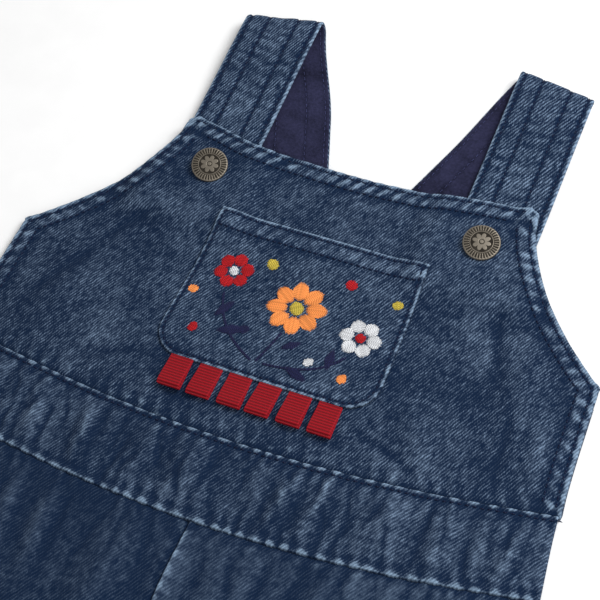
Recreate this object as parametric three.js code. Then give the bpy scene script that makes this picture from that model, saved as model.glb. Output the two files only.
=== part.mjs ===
// Child's denim bib dungarees, laid out on their back on a flat surface, in millimetres.
// +Z is up, +Y runs from the hems to the shoulder folds and +X is the viewer's right.
// Each panel is a closed cloth wall worked out from the garment's own sizes. Heights along Y are
// first measured from a line 14.9 mm above the middle of the bib's top edge, which keeps the bib's
// numbers small, and the last lines move the whole garment so that the origin is under its middle.
import * as THREE from 'three';

// Thickness of each cloth, the gap left along a sewn seam and the gap between stacked layers
const cloth = { denim: 1.2, strap: 1.0, lining: 0.6, ribbon: 0.5, patch: 1.0 };
const gap = { seam: 0.3, ply: 0.3, layer: 0.4 };

// Front bib: the top edge dips by curve * x^2, and the armhole runs from corner to underarm
const bib = {
  topMiddle: -14.9,
  topCurve: 0.0012,
  cornerHalf: 83,
  cornerY: -10,
  cornerDrop: 4,
  cornerRound: 8,
  underarmHalf: 132,
  underarmY: -94,
  armholeBend: 1.58,
};

// Back bib: lower and narrower, ending where the straps start. It lies askew, so that its top and
// the straps behind the neck sit to the right of the front's middle.
const back = { topHalf: 43, topY: -58, armholeBend: 1.5, askew: 5 };

// The two waist seams, each y = middle + curve * x^2, and the waistband lies between them
const seam = {
  upper: { middle: -154, curve: 0.00075 },
  lower: { middle: -191, curve: 0.0008 },
};

// Legs: half width of the body at the side seam, and the inner edge of each leg
const crotchY = -318;
const hemY = -620;
const sideRows = [
  { y: -94, half: 132 },
  { y: -142, half: 134 },
  { y: -176, half: 138 },
  { y: -250, half: 147 },
  { y: -340, half: 147 },
  { y: -620, half: 139 },
];
const innerRows = [
  { y: crotchY, half: gap.seam / 2 },
  { y: -345, half: 7 },
  { y: -430, half: 14 },
  { y: hemY, half: 20 },
];

// Straps: one strip that leaves the back bib, rolls over the shoulder fold and runs down the front
const strap = {
  width: 34,
  foldX: 66,
  foldY: 56.5,
  lean: 20,
  rollRadius: 3.2,
  askewOver: 26,
  frontEndY: -52,
  frontDrop: 3.0,
};

// Hems and folded edges stand a little proud of the single cloth
const hem = { bibWidth: 8, bibRise: 0.5, legWidth: 22, legRise: 0.6, pocketWidth: 10, pocketRise: 0.5, step: 0.8 };

const pocket = { topY: -50, bottomY: -125, topHalf: 48, lowHalf: 50, cornerRadius: 14 };
const ribbon = { count: 6, pitch: 13.4, width: 10, length: 15, height: 2.8 };
const button = { x: 64, y: -32, radius: 8.5, height: 2.3, rim: 1.2 };

// Soft folds of the front: a ridge runs 2 * length along a line that leans from +Y, and dies away
// across it over width
const largeFolds = [
  { name: 'bib left swell', x: -100, y: -112, lean: 28, length: 34, width: 15, height: 1.3 },
  { name: 'bib right swell', x: 104, y: -96, lean: -14, length: 40, width: 9, height: 1.8 },
  { name: 'bib right fold', x: 119, y: -118, lean: -8, length: 26, width: 6, height: 1.4 },
  { name: 'bib low crease', x: 72, y: -128, lean: -38, length: 26, width: 7, height: 1.0 },
  { name: 'bib middle crease', x: -40, y: -139, lean: 22, length: 16, width: 7, height: 0.8 },
  { name: 'left hip', x: -92, y: -252, lean: 16, length: 62, width: 11, height: 2.4 },
  { name: 'right hip', x: 96, y: -248, lean: -12, length: 66, width: 12, height: 2.2 },
  { name: 'left rise', x: -24, y: -236, lean: 9, length: 46, width: 9, height: 2.0 },
  { name: 'right rise', x: 30, y: -240, lean: -12, length: 44, width: 9, height: 1.8 },
  { name: 'left crotch drag', x: -44, y: -322, lean: 58, length: 42, width: 8, height: 2.2 },
  { name: 'right crotch drag', x: 40, y: -318, lean: -54, length: 40, width: 8, height: 2.4 },
  { name: 'left thigh', x: -98, y: -372, lean: -6, length: 78, width: 13, height: 2.2 },
  { name: 'right thigh', x: 90, y: -384, lean: 8, length: 82, width: 14, height: 2.4 },
  { name: 'left knee', x: -70, y: -452, lean: 64, length: 36, width: 9, height: 2.0 },
  { name: 'right knee', x: 84, y: -462, lean: -60, length: 38, width: 9, height: 1.9 },
  { name: 'left shin', x: -58, y: -534, lean: 6, length: 62, width: 11, height: 1.8 },
  { name: 'right shin', x: 66, y: -528, lean: -7, length: 66, width: 12, height: 2.0 },
];

// Gathers: rows of short ridges drawn in by a seam, uneven in place, length and height
const gatherRows = [
  { name: 'waistband', count: 17, span: 252, seam: seam.upper, below: 18.5, length: 23, width: 4.6, height: 2.3 },
  { name: 'under waistband', count: 15, span: 250, seam: seam.lower, below: 25, length: 32, width: 5.2, height: 1.9 },
];
const gatherUneven = { place: 0.3, size: 0.35, lean: 9 };

// How far the front stands off the back: over the back straps, over the strap ends, and the legs' loft
const overBackStraps = { rise: 1.0, half: 70, fade: 15, y: -66, yFade: 14 };
const overStrapEnds = { rise: 3.4, from: 46, to: 86, fade: 16, y: -54, yFade: 15 };
const loft = { leg: 2.0, body: 1.6 };

const seamY = (line, x) => line.middle + line.curve * x * x;
const mix = (a, b, t) => a + (b - a) * t;

// 0 below a, 1 above b, smooth between
function smooth(a, b, value) {
  const t = Math.min(1, Math.max(0, (value - a) / (b - a)));
  return t * t * (3 - 2 * t);
}

// Cubic through rows of { y, half } whose y falls from row to row
function halfAt(rows, y) {
  if (y >= rows[0].y) return rows[0].half;
  const last = rows.length - 1;
  if (y <= rows[last].y) return rows[last].half;
  const k = rows.findIndex((row, i) => i < last && y <= row.y && y >= rows[i + 1].y);
  const slope = (i) => {
    const low = rows[Math.min(last, i + 1)];
    const high = rows[Math.max(0, i - 1)];
    return (low.half - high.half) / (low.y - high.y);
  };
  const run = rows[k + 1].y - rows[k].y;
  const t = (y - rows[k].y) / run;
  const rise = 3 * t * t - 2 * t * t * t;
  const bendStart = t * (1 - t) * (1 - t) * run * slope(k);
  const bendEnd = t * t * (t - 1) * run * slope(k + 1);
  return mix(rows[k].half, rows[k + 1].half, rise) + bendStart + bendEnd;
}

function bibTopY(x) {
  const corner = smooth(bib.cornerHalf - bib.cornerRound, bib.cornerHalf + 2, Math.abs(x));
  return bib.topMiddle + bib.topCurve * x * x - bib.cornerDrop * corner * corner;
}

// Half width of the front at height y: armhole above the underarm, side seam below it
function frontHalf(y) {
  if (y <= bib.underarmY) return halfAt(sideRows, y);
  const t = Math.max(0, (bib.cornerY - y) / (bib.cornerY - bib.underarmY));
  return mix(bib.cornerHalf, bib.underarmHalf, t ** bib.armholeBend);
}

function backHalf(y) {
  if (y <= bib.underarmY) return halfAt(sideRows, y);
  const t = Math.max(0, (back.topY - y) / (back.topY - bib.underarmY));
  return mix(back.topHalf, bib.underarmHalf, t ** back.armholeBend);
}

function ridge(fold, x, y) {
  const lean = THREE.MathUtils.degToRad(fold.lean);
  const dx = x - fold.x;
  const dy = y - fold.y;
  const along = (dx * Math.sin(lean) + dy * Math.cos(lean)) / fold.length;
  const across = (dx * Math.cos(lean) - dy * Math.sin(lean)) / fold.width;
  if (Math.abs(along) >= 1) return 0;
  return fold.height * Math.exp(-across * across) * (1 - along * along) ** 2;
}

// One ridge for each gather, made uneven by sines that never line up with the count
function gathers(row) {
  const pitch = row.span / (row.count - 1);
  return Array.from({ length: row.count }, (_, i) => {
    const x = -row.span / 2 + pitch * (i + gatherUneven.place * Math.sin(2.4 * i + row.count));
    return {
      x,
      y: seamY(row.seam, x) - row.below + 2 * Math.sin(3.1 * i),
      lean: gatherUneven.lean * Math.sin(1.3 * i + 0.5),
      length: row.length * (1 + 0.15 * Math.sin(4.2 * i)),
      width: row.width * (1 + 0.25 * Math.sin(5.3 * i + 2)),
      height: row.height * (1 - gatherUneven.size + gatherUneven.size * Math.sin(1.9 * i + 1)),
    };
  });
}
const folds = [...largeFolds, ...gatherRows.flatMap(gathers)];

// Underside of the front cloth over the back, the straps and its own folds
function frontUnder(x, y) {
  const side = Math.abs(x);
  const strapsBelow = smooth(overBackStraps.half + overBackStraps.fade, overBackStraps.half, side)
    * smooth(overBackStraps.y - overBackStraps.yFade, overBackStraps.y, y);
  const endsBelow = smooth(overStrapEnds.from - overStrapEnds.fade, overStrapEnds.from, side)
    * smooth(overStrapEnds.to + overStrapEnds.fade, overStrapEnds.to, side)
    * smooth(overStrapEnds.y - overStrapEnds.yFade, overStrapEnds.y, y);
  const legMiddle = (halfAt(innerRows, y) + halfAt(sideRows, y)) / 2;
  const legHalf = (halfAt(sideRows, y) - halfAt(innerRows, y)) / 2;
  const acrossLeg = Math.min(1, Math.abs(side - legMiddle) / legHalf);
  const acrossBody = Math.min(1, side / halfAt(sideRows, y));
  const legShare = smooth(seam.lower.middle - 20, crotchY - 20, y);
  const puff = mix(loft.leg * (1 - acrossLeg ** 2), loft.body * (1 - acrossBody ** 4), legShare)
    * smooth(bib.underarmY + 20, bib.underarmY - 30, y);
  const folded = folds.reduce((sum, fold) => sum + ridge(fold, x, y), 0);
  const lifted = mix(overBackStraps.rise * strapsBelow, overStrapEnds.rise, endsBelow);
  return cloth.denim + gap.layer + lifted + puff + folded * smooth(0, 7, halfAt(sideRows, y) - side + 3);
}
const frontOver = (x, y) => frontUnder(x, y) + cloth.denim;

// Closed wall between two faces: at(i, j) gives the outer and the inner point of grid row i, column j
function wall(rows, columns, at) {
  const outer = [];
  const inner = [];
  for (let i = 0; i <= rows; i++) {
    for (let j = 0; j <= columns; j++) {
      const [out, into] = at(i, j);
      outer.push(out);
      inner.push(into);
    }
  }
  const points = [...outer, ...inner];
  const id = (i, j) => i * (columns + 1) + j;
  const faces = [];
  for (let i = 0; i < rows; i++) {
    for (let j = 0; j < columns; j++) {
      const [a, b, c, d] = [id(i, j), id(i, j + 1), id(i + 1, j + 1), id(i + 1, j)];
      const n = outer.length;
      faces.push([a, d, c], [a, c, b], [a + n, c + n, d + n], [a + n, b + n, c + n]);
    }
  }
  const rim = [];
  for (let j = 0; j < columns; j++) rim.push(id(0, j));
  for (let i = 0; i < rows; i++) rim.push(id(i, columns));
  for (let j = columns; j > 0; j--) rim.push(id(rows, j));
  for (let i = rows; i > 0; i--) rim.push(id(i, 0));
  rim.forEach((p, k) => {
    const q = rim[(k + 1) % rim.length];
    faces.push([p, q, q + outer.length], [p, q + outer.length, p + outer.length]);
  });
  return closedGeometry(points, faces);
}

// Turns the faces round if they point inwards
function closedGeometry(points, faces) {
  const volume = faces.reduce((sum, [a, b, c]) => {
    return sum + points[a].dot(new THREE.Vector3().crossVectors(points[b], points[c]));
  }, 0);
  const turned = volume < 0 ? faces.map(([a, b, c]) => [a, c, b]) : faces;
  const geometry = new THREE.BufferGeometry();
  geometry.setAttribute('position', new THREE.Float32BufferAttribute(points.flatMap((p) => p.toArray()), 3));
  geometry.setIndex(turned.flat());
  geometry.computeVertexNormals();
  return geometry;
}

// Even steps from 0 to 1 with a close pair at each listed distance from the start and the end
function steps(count, length, fromStart = [], fromEnd = []) {
  const list = Array.from({ length: count + 1 }, (_, i) => i / count);
  const marks = [...fromStart.map((d) => d / length), ...fromEnd.map((d) => 1 - d / length)];
  const clear = list.filter((t) => t === 0 || t === 1 || marks.every((m) => Math.abs(m - t) * length > hem.step));
  return [...clear, ...marks].sort((a, b) => a - b);
}
const edgePair = (width) => [width - hem.step / 2, width + hem.step / 2];

const material = {
  denim: new THREE.MeshStandardMaterial({ color: '#3d5778', roughness: 0.9, metalness: 0 }),
  lining: new THREE.MeshStandardMaterial({ color: '#25264a', roughness: 0.85, metalness: 0 }),
  ribbon: new THREE.MeshStandardMaterial({ color: '#b0131f', roughness: 0.6, metalness: 0 }),
  metal: new THREE.MeshStandardMaterial({ color: '#84796a', roughness: 0.42, metalness: 0.9 }),
};

const garment = new THREE.Group();
function piece(name, geometry, finish) {
  const mesh = new THREE.Mesh(geometry, finish);
  mesh.name = name;
  garment.add(mesh);
  return mesh;
}
const faces = (x, y, under, over) => [new THREE.Vector3(x, y, over), new THREE.Vector3(x, y, under)];

// Front bib, with the folded edge of its top and armholes
function frontBib() {
  const down = steps(18, bib.topMiddle - seam.upper.middle, edgePair(hem.bibWidth));
  const across = steps(28, 2 * bib.cornerHalf, edgePair(hem.bibWidth), edgePair(hem.bibWidth));
  return wall(down.length - 1, across.length - 1, (i, j) => {
    const row = mix(bib.cornerY, seam.upper.middle, down[i]);
    const half = Math.min(frontHalf(row), i === 0 ? bib.cornerHalf : Infinity);
    // columns near an armhole keep their distance from it, the rest spread between them
    const edge = Math.min(across[j], 1 - across[j]) * 2 * bib.cornerHalf;
    const inward = edge <= hem.bibWidth + hem.step ? edge : hem.bibWidth + hem.step
      + (edge - hem.bibWidth - hem.step) * (half - hem.bibWidth - hem.step)
      / (bib.cornerHalf - hem.bibWidth - hem.step);
    const x = (across[j] < 0.5 ? -1 : 1) * (half - inward);
    const top = bibTopY(x);
    const y = mix(top, seamY(seam.upper, x) + gap.seam / 2, down[i]);
    const onHem = edge < hem.bibWidth && row > bib.underarmY ? 1 : Math.max(0, top - y < hem.bibWidth ? 1 : 0);
    return faces(x, y, frontUnder(x, y), frontOver(x, y) + hem.bibRise * onHem);
  });
}

function frontWaistband() {
  return wall(6, 84, (i, j) => {
    const v = i / 6;
    const row = mix(seamY(seam.upper, bib.underarmHalf), seamY(seam.lower, bib.underarmHalf), v);
    const x = mix(-1, 1, j / 84) * halfAt(sideRows, row);
    const y = mix(seamY(seam.upper, x) - gap.seam / 2, seamY(seam.lower, x) + gap.seam / 2, v);
    return faces(x, y, frontUnder(x, y), frontOver(x, y));
  });
}

// Plan of one leg from the lower waist seam to the hem, side is -1 or 1
function legPlan(side, down, across) {
  const row = mix(seam.lower.middle, hemY, down);
  const inner = row > crotchY ? gap.seam / 2 : halfAt(innerRows, row);
  const x = side * mix(inner, halfAt(sideRows, row), across);
  return [x, mix(seamY(seam.lower, x) - gap.seam / 2, hemY, down)];
}

function frontLeg(side) {
  // rows stand closer under the waist seam, where the cloth is gathered
  const legLength = seam.lower.middle - hemY;
  const down = steps(20, 1).map((t) => t ** 1.25);
  down.splice(-1, 0, ...edgePair(hem.legWidth).map((d) => 1 - d / legLength).reverse());
  down.sort((a, b) => a - b);
  return wall(down.length - 1, 24, (i, j) => {
    const [x, y] = legPlan(side, down[i], j / 24);
    const onHem = y - hemY < hem.legWidth ? 1 : 0;
    return faces(x, y, frontUnder(x, y), frontOver(x, y) + hem.legRise * onHem);
  });
}

// The back lies flat on the surface, with its outer face down
function backLeg(side) {
  return wall(14, 6, (i, j) => faces(...legPlan(side, i / 14, j / 6), 0, cloth.denim));
}

function backWaistband() {
  return wall(3, 16, (i, j) => {
    const row = mix(seamY(seam.upper, bib.underarmHalf), seamY(seam.lower, bib.underarmHalf), i / 3);
    const x = mix(-1, 1, j / 16) * halfAt(sideRows, row);
    const y = mix(seamY(seam.upper, x) - gap.seam / 2, seamY(seam.lower, x) + gap.seam / 2, i / 3);
    return faces(x, y, 0, cloth.denim);
  });
}

function backBib() {
  return wall(12, 16, (i, j) => {
    const row = mix(back.topY, seam.upper.middle, i / 12);
    const x = mix(-1, 1, j / 16) * backHalf(row) + back.askew * smooth(bib.underarmY, back.topY, row);
    const y = mix(back.topY, seamY(seam.upper, x) + gap.seam / 2, i / 12);
    return faces(x, y, 0, cloth.denim);
  });
}

// One ply of a strap, from low to high across its thickness. The strip is drawn flat, at its lean,
// and everything past the shoulder fold is rolled over a cylinder that lies along the fold.
function strapPly(side, low, high, inset) {
  const lean = THREE.MathUtils.degToRad(strap.lean);
  const run = new THREE.Vector2(Math.sin(lean), Math.cos(lean));
  const out = new THREE.Vector2(run.y, -run.x);
  const foldLine = new THREE.Vector2(Math.cos(lean / 2), -Math.sin(lean / 2));
  const past = new THREE.Vector2(-foldLine.y, foldLine.x);
  const turn = Math.PI * strap.rollRadius;
  const zBack = cloth.strap / 2;

  // plan y of the strip at w across it, for a distance p past the fold, before and after the roll
  const backStart = (w) => {
    const s = (back.topY + gap.seam - strap.foldY - w * out.y) / run.y;
    return s * run.dot(past) + w * out.dot(past);
  };
  const alongFold = (p, w) => (p - w * out.dot(past)) / run.dot(past) * run.dot(foldLine) + w * out.dot(foldLine);
  const frontEnd = (w) => {
    const yAt = (p) => strap.foldY - (p - turn) * past.y + alongFold(p, w) * foldLine.y;
    const slope = yAt(1) - yAt(0);
    return (strap.frontEndY - yAt(0)) / slope;
  };

  const backRows = 10;
  const rollRows = 8;
  const frontRows = 12;
  const pastFold = (i, w) => {
    if (i <= backRows) return mix(backStart(w), 0, i / backRows);
    if (i <= backRows + rollRows) return turn * (i - backRows) / rollRows;
    return mix(turn, frontEnd(w), (i - backRows - rollRows) / frontRows);
  };
  const point = (p, w, offset) => {
    const b = alongFold(p, w);
    const angle = Math.min(Math.PI, Math.max(0, p / strap.rollRadius));
    const rolled = (strap.rollRadius - offset) * Math.sin(angle);
    const reach = p < 0 ? p : rolled - Math.max(0, p - turn);
    const drop = strap.frontDrop * smooth(0, strap.foldY - bib.topMiddle, p - turn);
    const z = zBack + strap.rollRadius - (strap.rollRadius - offset) * Math.cos(angle) - drop;
    const x = strap.foldX + b * foldLine.x + reach * past.x;
    const y = strap.foldY + b * foldLine.y + reach * past.y;
    return new THREE.Vector3(side * x + back.askew * smooth(0, -strap.askewOver, p), y, z);
  };
  const columns = 4;
  return wall(backRows + rollRows + frontRows, columns, (i, j) => {
    const w = (strap.width / 2 - inset) * mix(-1, 1, j / columns);
    const p = pastFold(i, w);
    return [point(p, w, low), point(p, w, high)];
  });
}

// Patch pocket that follows the bib, with rounded lower corners and a folded top edge
function bibPocket() {
  const straight = pocket.topY - pocket.bottomY - pocket.cornerRadius;
  const rows = [0, hem.pocketWidth - hem.step / 2, hem.pocketWidth + hem.step / 2, 24, 38, 50, straight]
    .map((d) => ({ y: pocket.topY - d, half: mix(pocket.topHalf, pocket.lowHalf, Math.min(1, d / straight)) }));
  for (let k = 1; k <= 5; k++) {
    const angle = (Math.PI / 2) * (k / 5);
    rows.push({
      y: pocket.topY - straight - pocket.cornerRadius * Math.sin(angle),
      half: pocket.lowHalf - pocket.cornerRadius * (1 - Math.cos(angle)),
    });
  }
  const columns = 18;
  return wall(rows.length - 1, columns, (i, j) => {
    const { y, half } = rows[i];
    const x = half * mix(-1, 1, j / columns);
    const under = frontOver(x, y) + gap.ply + 0.1;
    const onHem = pocket.topY - y < hem.pocketWidth ? hem.pocketRise : 0;
    return faces(x, y, under, under + cloth.patch + onHem);
  });
}

// Folded ribbon: the side view of a flattened loop, extruded by the ribbon's width
function ribbonLoop(x) {
  const { length, height, width } = ribbon;
  const bendRadius = height / 2;
  const side = new THREE.Shape();
  side.moveTo(0, 0);
  side.lineTo(length - bendRadius, 0);
  side.absarc(length - bendRadius, bendRadius, bendRadius, -Math.PI / 2, Math.PI / 2, false);
  side.lineTo(0, 2 * cloth.ribbon + 0.3);
  side.lineTo(0, cloth.ribbon + 0.3);
  side.lineTo(length - bendRadius, height - cloth.ribbon);
  side.absarc(length - bendRadius, bendRadius, bendRadius - cloth.ribbon, Math.PI / 2, -Math.PI / 2, true);
  side.lineTo(0, cloth.ribbon);
  side.closePath();
  const geometry = new THREE.ExtrudeGeometry(side, { depth: width, bevelEnabled: false, curveSegments: 6 });
  const start = pocket.bottomY - gap.seam;
  const heights = [0, 0.5, 1].flatMap((t) => [-0.5, 0, 0.5].map((u) => frontOver(x + u * width, start - t * length)));
  // the profile's length runs along -Y and its width along X
  const turn = new THREE.Matrix4().makeBasis(
    new THREE.Vector3(0, -1, 0), new THREE.Vector3(0, 0, 1), new THREE.Vector3(-1, 0, 0));
  geometry.applyMatrix4(turn);
  geometry.translate(x + width / 2, start, Math.max(...heights) + gap.ply);
  return geometry;
}

// Cap of a tack button: flat rim, shallow groove and a low dome
function buttonCap() {
  const { radius, height, rim } = button;
  const profile = [
    [0, 0], [radius - 0.5, 0], [radius, 0.5], [radius - 0.1, rim], [radius - 0.9, rim + 0.4],
    [radius - 2.1, rim + 0.25], [radius * 0.45, height - 0.15], [0, height],
  ].map(([r, z]) => new THREE.Vector2(r, z));
  return new THREE.LatheGeometry(profile, 32).rotateX(Math.PI / 2);
}

piece('front_bib', frontBib(), material.denim);
piece('front_waistband', frontWaistband(), material.denim);
piece('back_bib', backBib(), material.denim);
piece('back_waistband', backWaistband(), material.denim);
piece('bib_pocket', bibPocket(), material.denim);
for (const [name, side] of [['left', -1], ['right', 1]]) {
  piece(`front_leg_${name}`, frontLeg(side), material.denim);
  piece(`back_leg_${name}`, backLeg(side), material.denim);
  const ply = cloth.strap / 2;
  piece(`strap_${name}`, strapPly(side, -ply, ply, 0), material.denim);
  piece(`strap_lining_${name}`, strapPly(side, ply + gap.ply, ply + gap.ply + cloth.lining, 0.8), material.lining);
  const cap = piece(`button_${name}`, buttonCap(), material.metal);
  cap.position.set(side * button.x, button.y, frontOver(side * button.x, button.y) + gap.ply);
}
for (let k = 0; k < ribbon.count; k++) {
  piece(`ribbon_loop_${k + 1}`, ribbonLoop(ribbon.pitch * (k - (ribbon.count - 1) / 2)), material.ribbon);
}

// The origin is on the surface under the middle of the laid-out garment
garment.updateMatrixWorld(true);
const extent = new THREE.Box3().setFromObject(garment, true);
garment.position.set(0, -(extent.min.y + extent.max.y) / 2, 0);

export default garment;
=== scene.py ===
import math

import bpy
import numpy as np
from mathutils import Matrix


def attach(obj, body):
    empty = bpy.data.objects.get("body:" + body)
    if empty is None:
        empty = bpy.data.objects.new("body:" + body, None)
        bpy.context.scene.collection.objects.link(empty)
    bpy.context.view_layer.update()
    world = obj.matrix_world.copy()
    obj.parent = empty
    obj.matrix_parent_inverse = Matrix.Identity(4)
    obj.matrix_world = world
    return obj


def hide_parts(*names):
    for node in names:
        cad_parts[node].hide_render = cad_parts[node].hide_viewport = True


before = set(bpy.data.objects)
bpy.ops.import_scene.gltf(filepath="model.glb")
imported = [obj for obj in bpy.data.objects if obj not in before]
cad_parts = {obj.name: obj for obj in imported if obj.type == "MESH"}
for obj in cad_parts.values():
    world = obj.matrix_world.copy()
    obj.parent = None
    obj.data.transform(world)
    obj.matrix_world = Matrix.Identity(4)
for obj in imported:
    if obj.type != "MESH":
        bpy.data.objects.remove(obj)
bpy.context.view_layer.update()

# Shapes are worked out in millimetres on the garment's own lines: y is 0 just above the bib's top
# edge, x is 0 on the middle of the front, and layOut moves them to the frame, in metres.
place = {"shiftY": 278.506}


def layOut(points):
    return (np.asarray(points, float) + (0, place["shiftY"], 0)) / 1000


def mix(a, b, t):
    return a + (b - a) * t


def smooth(a, b, value):  # 0 at a, 1 at b, smooth between
    t = np.clip((value - a) / (b - a), 0, 1)
    return t * t * (3 - 2 * t)


def bell(value, width):  # 1 at zero, falling smoothly to both sides
    return np.exp(-(value / width) ** 2)


def unit(vectors):
    return vectors / np.maximum(np.linalg.norm(vectors, axis=-1, keepdims=True), 1e-9)


def grid(down, across):
    return np.meshgrid(down, across, indexing="ij")


def softNoise(x, y, cell, seed):
    # values from a seeded table at whole cells, blended smoothly between the four nearest
    table = np.random.default_rng(seed).uniform(-1, 1, (96, 96))
    gx, gy = x / cell + 500.3, y / cell + 500.7
    ix, iy = np.floor(gx).astype(int), np.floor(gy).astype(int)
    fx, fy = smooth(0, 1, gx - ix), smooth(0, 1, gy - iy)
    low = mix(table[ix % 96, iy % 96], table[(ix + 1) % 96, iy % 96], fx)
    high = mix(table[ix % 96, (iy + 1) % 96], table[(ix + 1) % 96, (iy + 1) % 96], fx)
    return mix(low, high, fy)


# The camera was fitted to the photograph's buttons, bib edges and seams: place in m, lens in mm
cameraLook = {
    "place": (0.21318, -0.13701, 0.61389),
    "right": (0.91667, 0.38483, -0.10782),
    "down": (0.27361, -0.80094, -0.53257),
    "lens": 103.2, "sensor": 36, "near": 0.01,
}


def aimed(right, up, back, at):  # the matrix of a camera or lamp with these axes, at this place
    turned = np.eye(4)
    for column, axis in enumerate((right, up, back, at)):
        turned[:3, column] = axis
    return Matrix(turned)


def setCamera():
    data = bpy.data.cameras.new("photoCamera")
    data.lens, data.sensor_width = cameraLook["lens"], cameraLook["sensor"]
    data.clip_start = cameraLook["near"]
    camera = bpy.data.objects.new("photoCamera", data)
    bpy.context.scene.collection.objects.link(camera)
    right, down = unit(np.array(cameraLook["right"])), np.array(cameraLook["down"])
    up = unit(right * (down @ right) - down)
    camera.matrix_world = aimed(right, up, np.cross(right, up), cameraLook["place"])
    bpy.context.scene.camera = camera


setCamera()
print("camera set")


def toMesh(name, points, quads, material, uv=None, values=None):
    mesh = bpy.data.meshes.new(name)
    quads = np.asarray(quads, np.int32).reshape(-1, 4)
    mesh.vertices.add(len(points))
    mesh.vertices.foreach_set("co", np.asarray(points, np.float32).ravel())
    mesh.loops.add(quads.size)
    mesh.loops.foreach_set("vertex_index", quads.ravel())
    mesh.polygons.add(len(quads))
    mesh.polygons.foreach_set("loop_start", np.arange(0, quads.size, 4, dtype=np.int32))
    mesh.polygons.foreach_set("use_smooth", np.full(len(quads), True))
    mesh.update(calc_edges=True)
    if uv is not None:
        layer = mesh.uv_layers.new(name="cloth")
        layer.uv.foreach_set("vector", np.asarray(uv, np.float32)[quads.ravel()].ravel())
    for key, value in (values or {}).items():
        given = mesh.attributes.new(key, "FLOAT", "POINT")
        given.data.foreach_set("value", np.asarray(value, np.float32).ravel())
    mesh.validate()
    mesh.materials.append(material)
    made = bpy.data.objects.new(name, mesh)
    bpy.context.scene.collection.objects.link(made)
    return made


def declare(made, replaces=None):  # the garment has one body, so every piece rides on it
    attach(made, "root")
    if replaces:
        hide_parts(replaces)
    return made


def gridQuads(rows, columns):
    ids = np.arange(rows * columns).reshape(rows, columns)
    return np.stack([ids[:-1, :-1], ids[1:, :-1], ids[1:, 1:], ids[:-1, 1:]], -1).reshape(-1, 4)


# bulge: how far the rim stands out, by the thickness. inside: share of wear and shade on the
# inner face. curl: how far the upper face rounds over at its edges, in mm
wall = {"bulge": 0.4, "inside": 0.3, "curl": 0.7}


def closedWall(name, outer, inner, uv, values, material):
    # outer and inner faces on one grid, joined by a rim whose middle line bulges outwards
    rows, columns = outer.shape[:2]
    ids = np.arange(rows * columns).reshape(rows, columns)
    count = ids.size
    rim = np.concatenate([ids[0, :-1], ids[:-1, -1], ids[-1, :0:-1], ids[:0:-1, 0]])
    inside = np.concatenate([ids[1, :-1], ids[:-1, -2], ids[-2, :0:-1], ids[:0:-1, 1]])
    outer, inner, uv = outer.reshape(-1, 3), inner.reshape(-1, 3), uv.reshape(-1, 2)
    thick = np.linalg.norm(outer[rim] - inner[rim], axis=1, keepdims=True)
    away = unit(outer[rim] - outer[inside]) * thick * wall["bulge"]
    points = np.concatenate([outer, inner, (outer[rim] + inner[rim]) / 2 + away])
    top = gridQuads(rows, columns)
    k = np.arange(len(rim))
    after = np.roll(k, -1)
    upper = np.stack([rim[k], rim[after], after + 2 * count, k + 2 * count], 1)
    lower = np.stack([k + 2 * count, after + 2 * count, rim[after] + count, rim[k] + count], 1)
    quads = np.concatenate([top, top[:, ::-1] + count, upper, lower])
    a, b, c = (points[quads[:, corner]] for corner in (0, 1, 2))
    if np.einsum("ij,ij->", a, np.cross(b - a, c - a)) < 0:  # the faces point inwards
        quads = quads[:, ::-1]
    spread = {}
    for key, value in values.items():
        flat = np.ravel(value)
        spread[key] = np.concatenate([flat, flat * wall["inside"], flat[rim]])
    return toMesh(name, layOut(points), quads, material, np.concatenate([uv, uv, uv[rim]]), spread)


# A thread: height by width, size of its tips, and its twist. A stitch: pitch and length, height
# of its middle over the cloth, how far its ends dive, and radius
thread = {"flatness": 0.75, "tip": 0.25, "pitch": 0.8, "bump": 0.0001}
stitch = {"pitch": 3.0, "length": 2.3, "lift": 0.22, "dive": 0.45, "radius": 0.3}


def threadTubes(name, paths, ups, radius, material):
    # paths (k, s, 3) are centre lines: a six-sided ring is set round each of their points, flat
    # towards up, and drawn in by both ends
    count, steps = paths.shape[:2]
    along = unit(np.gradient(paths, axis=1))
    across = unit(np.cross(along, ups))
    t = np.linspace(-1, 1, steps)
    taper = mix(thread["tip"], 1, np.sqrt(np.clip(1 - np.abs(t) ** 3, 0, 1)))
    turn = np.linspace(0, 2 * np.pi, 6, endpoint=False)
    ring = across[:, :, None] * np.cos(turn)[:, None]
    ring = ring + np.cross(across, along)[:, :, None] * np.sin(turn)[:, None] * thread["flatness"]
    points = paths[:, :, None] + ring * taper[:, None, None] * radius
    ids = np.arange(count * steps * 6).reshape(count, steps, 6)
    beside = np.roll(ids, -1, 2)
    walls = np.stack([ids[:, :-1], beside[:, :-1], beside[:, 1:], ids[:, 1:]], -1).reshape(-1, 4)
    starts, ends = ids[:, 0], ids[:, -1]
    caps = [starts[:, [3, 2, 1, 0]], starts[:, [5, 4, 3, 0]],
            ends[:, [0, 1, 2, 3]], ends[:, [0, 3, 4, 5]]]
    run = np.linalg.norm(np.diff(paths, axis=1, prepend=paths[:, :1]), axis=2).cumsum(1)
    uv = np.stack(np.broadcast_arrays(np.abs(turn - np.pi), run[:, :, None] / 1000), -1)
    tone = np.repeat(np.random.default_rng(count).uniform(0, 1, count), steps * 6)
    quads = np.concatenate([walls] + caps)
    return toMesh(name, layOut(points.reshape(-1, 3)), quads, material, uv.reshape(-1, 2),
                  {"tone": tone})


def runOf(line):  # length from a line's start to each of its points
    return np.concatenate([[0], np.cumsum(np.linalg.norm(np.diff(line, axis=0), axis=1))])


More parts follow.
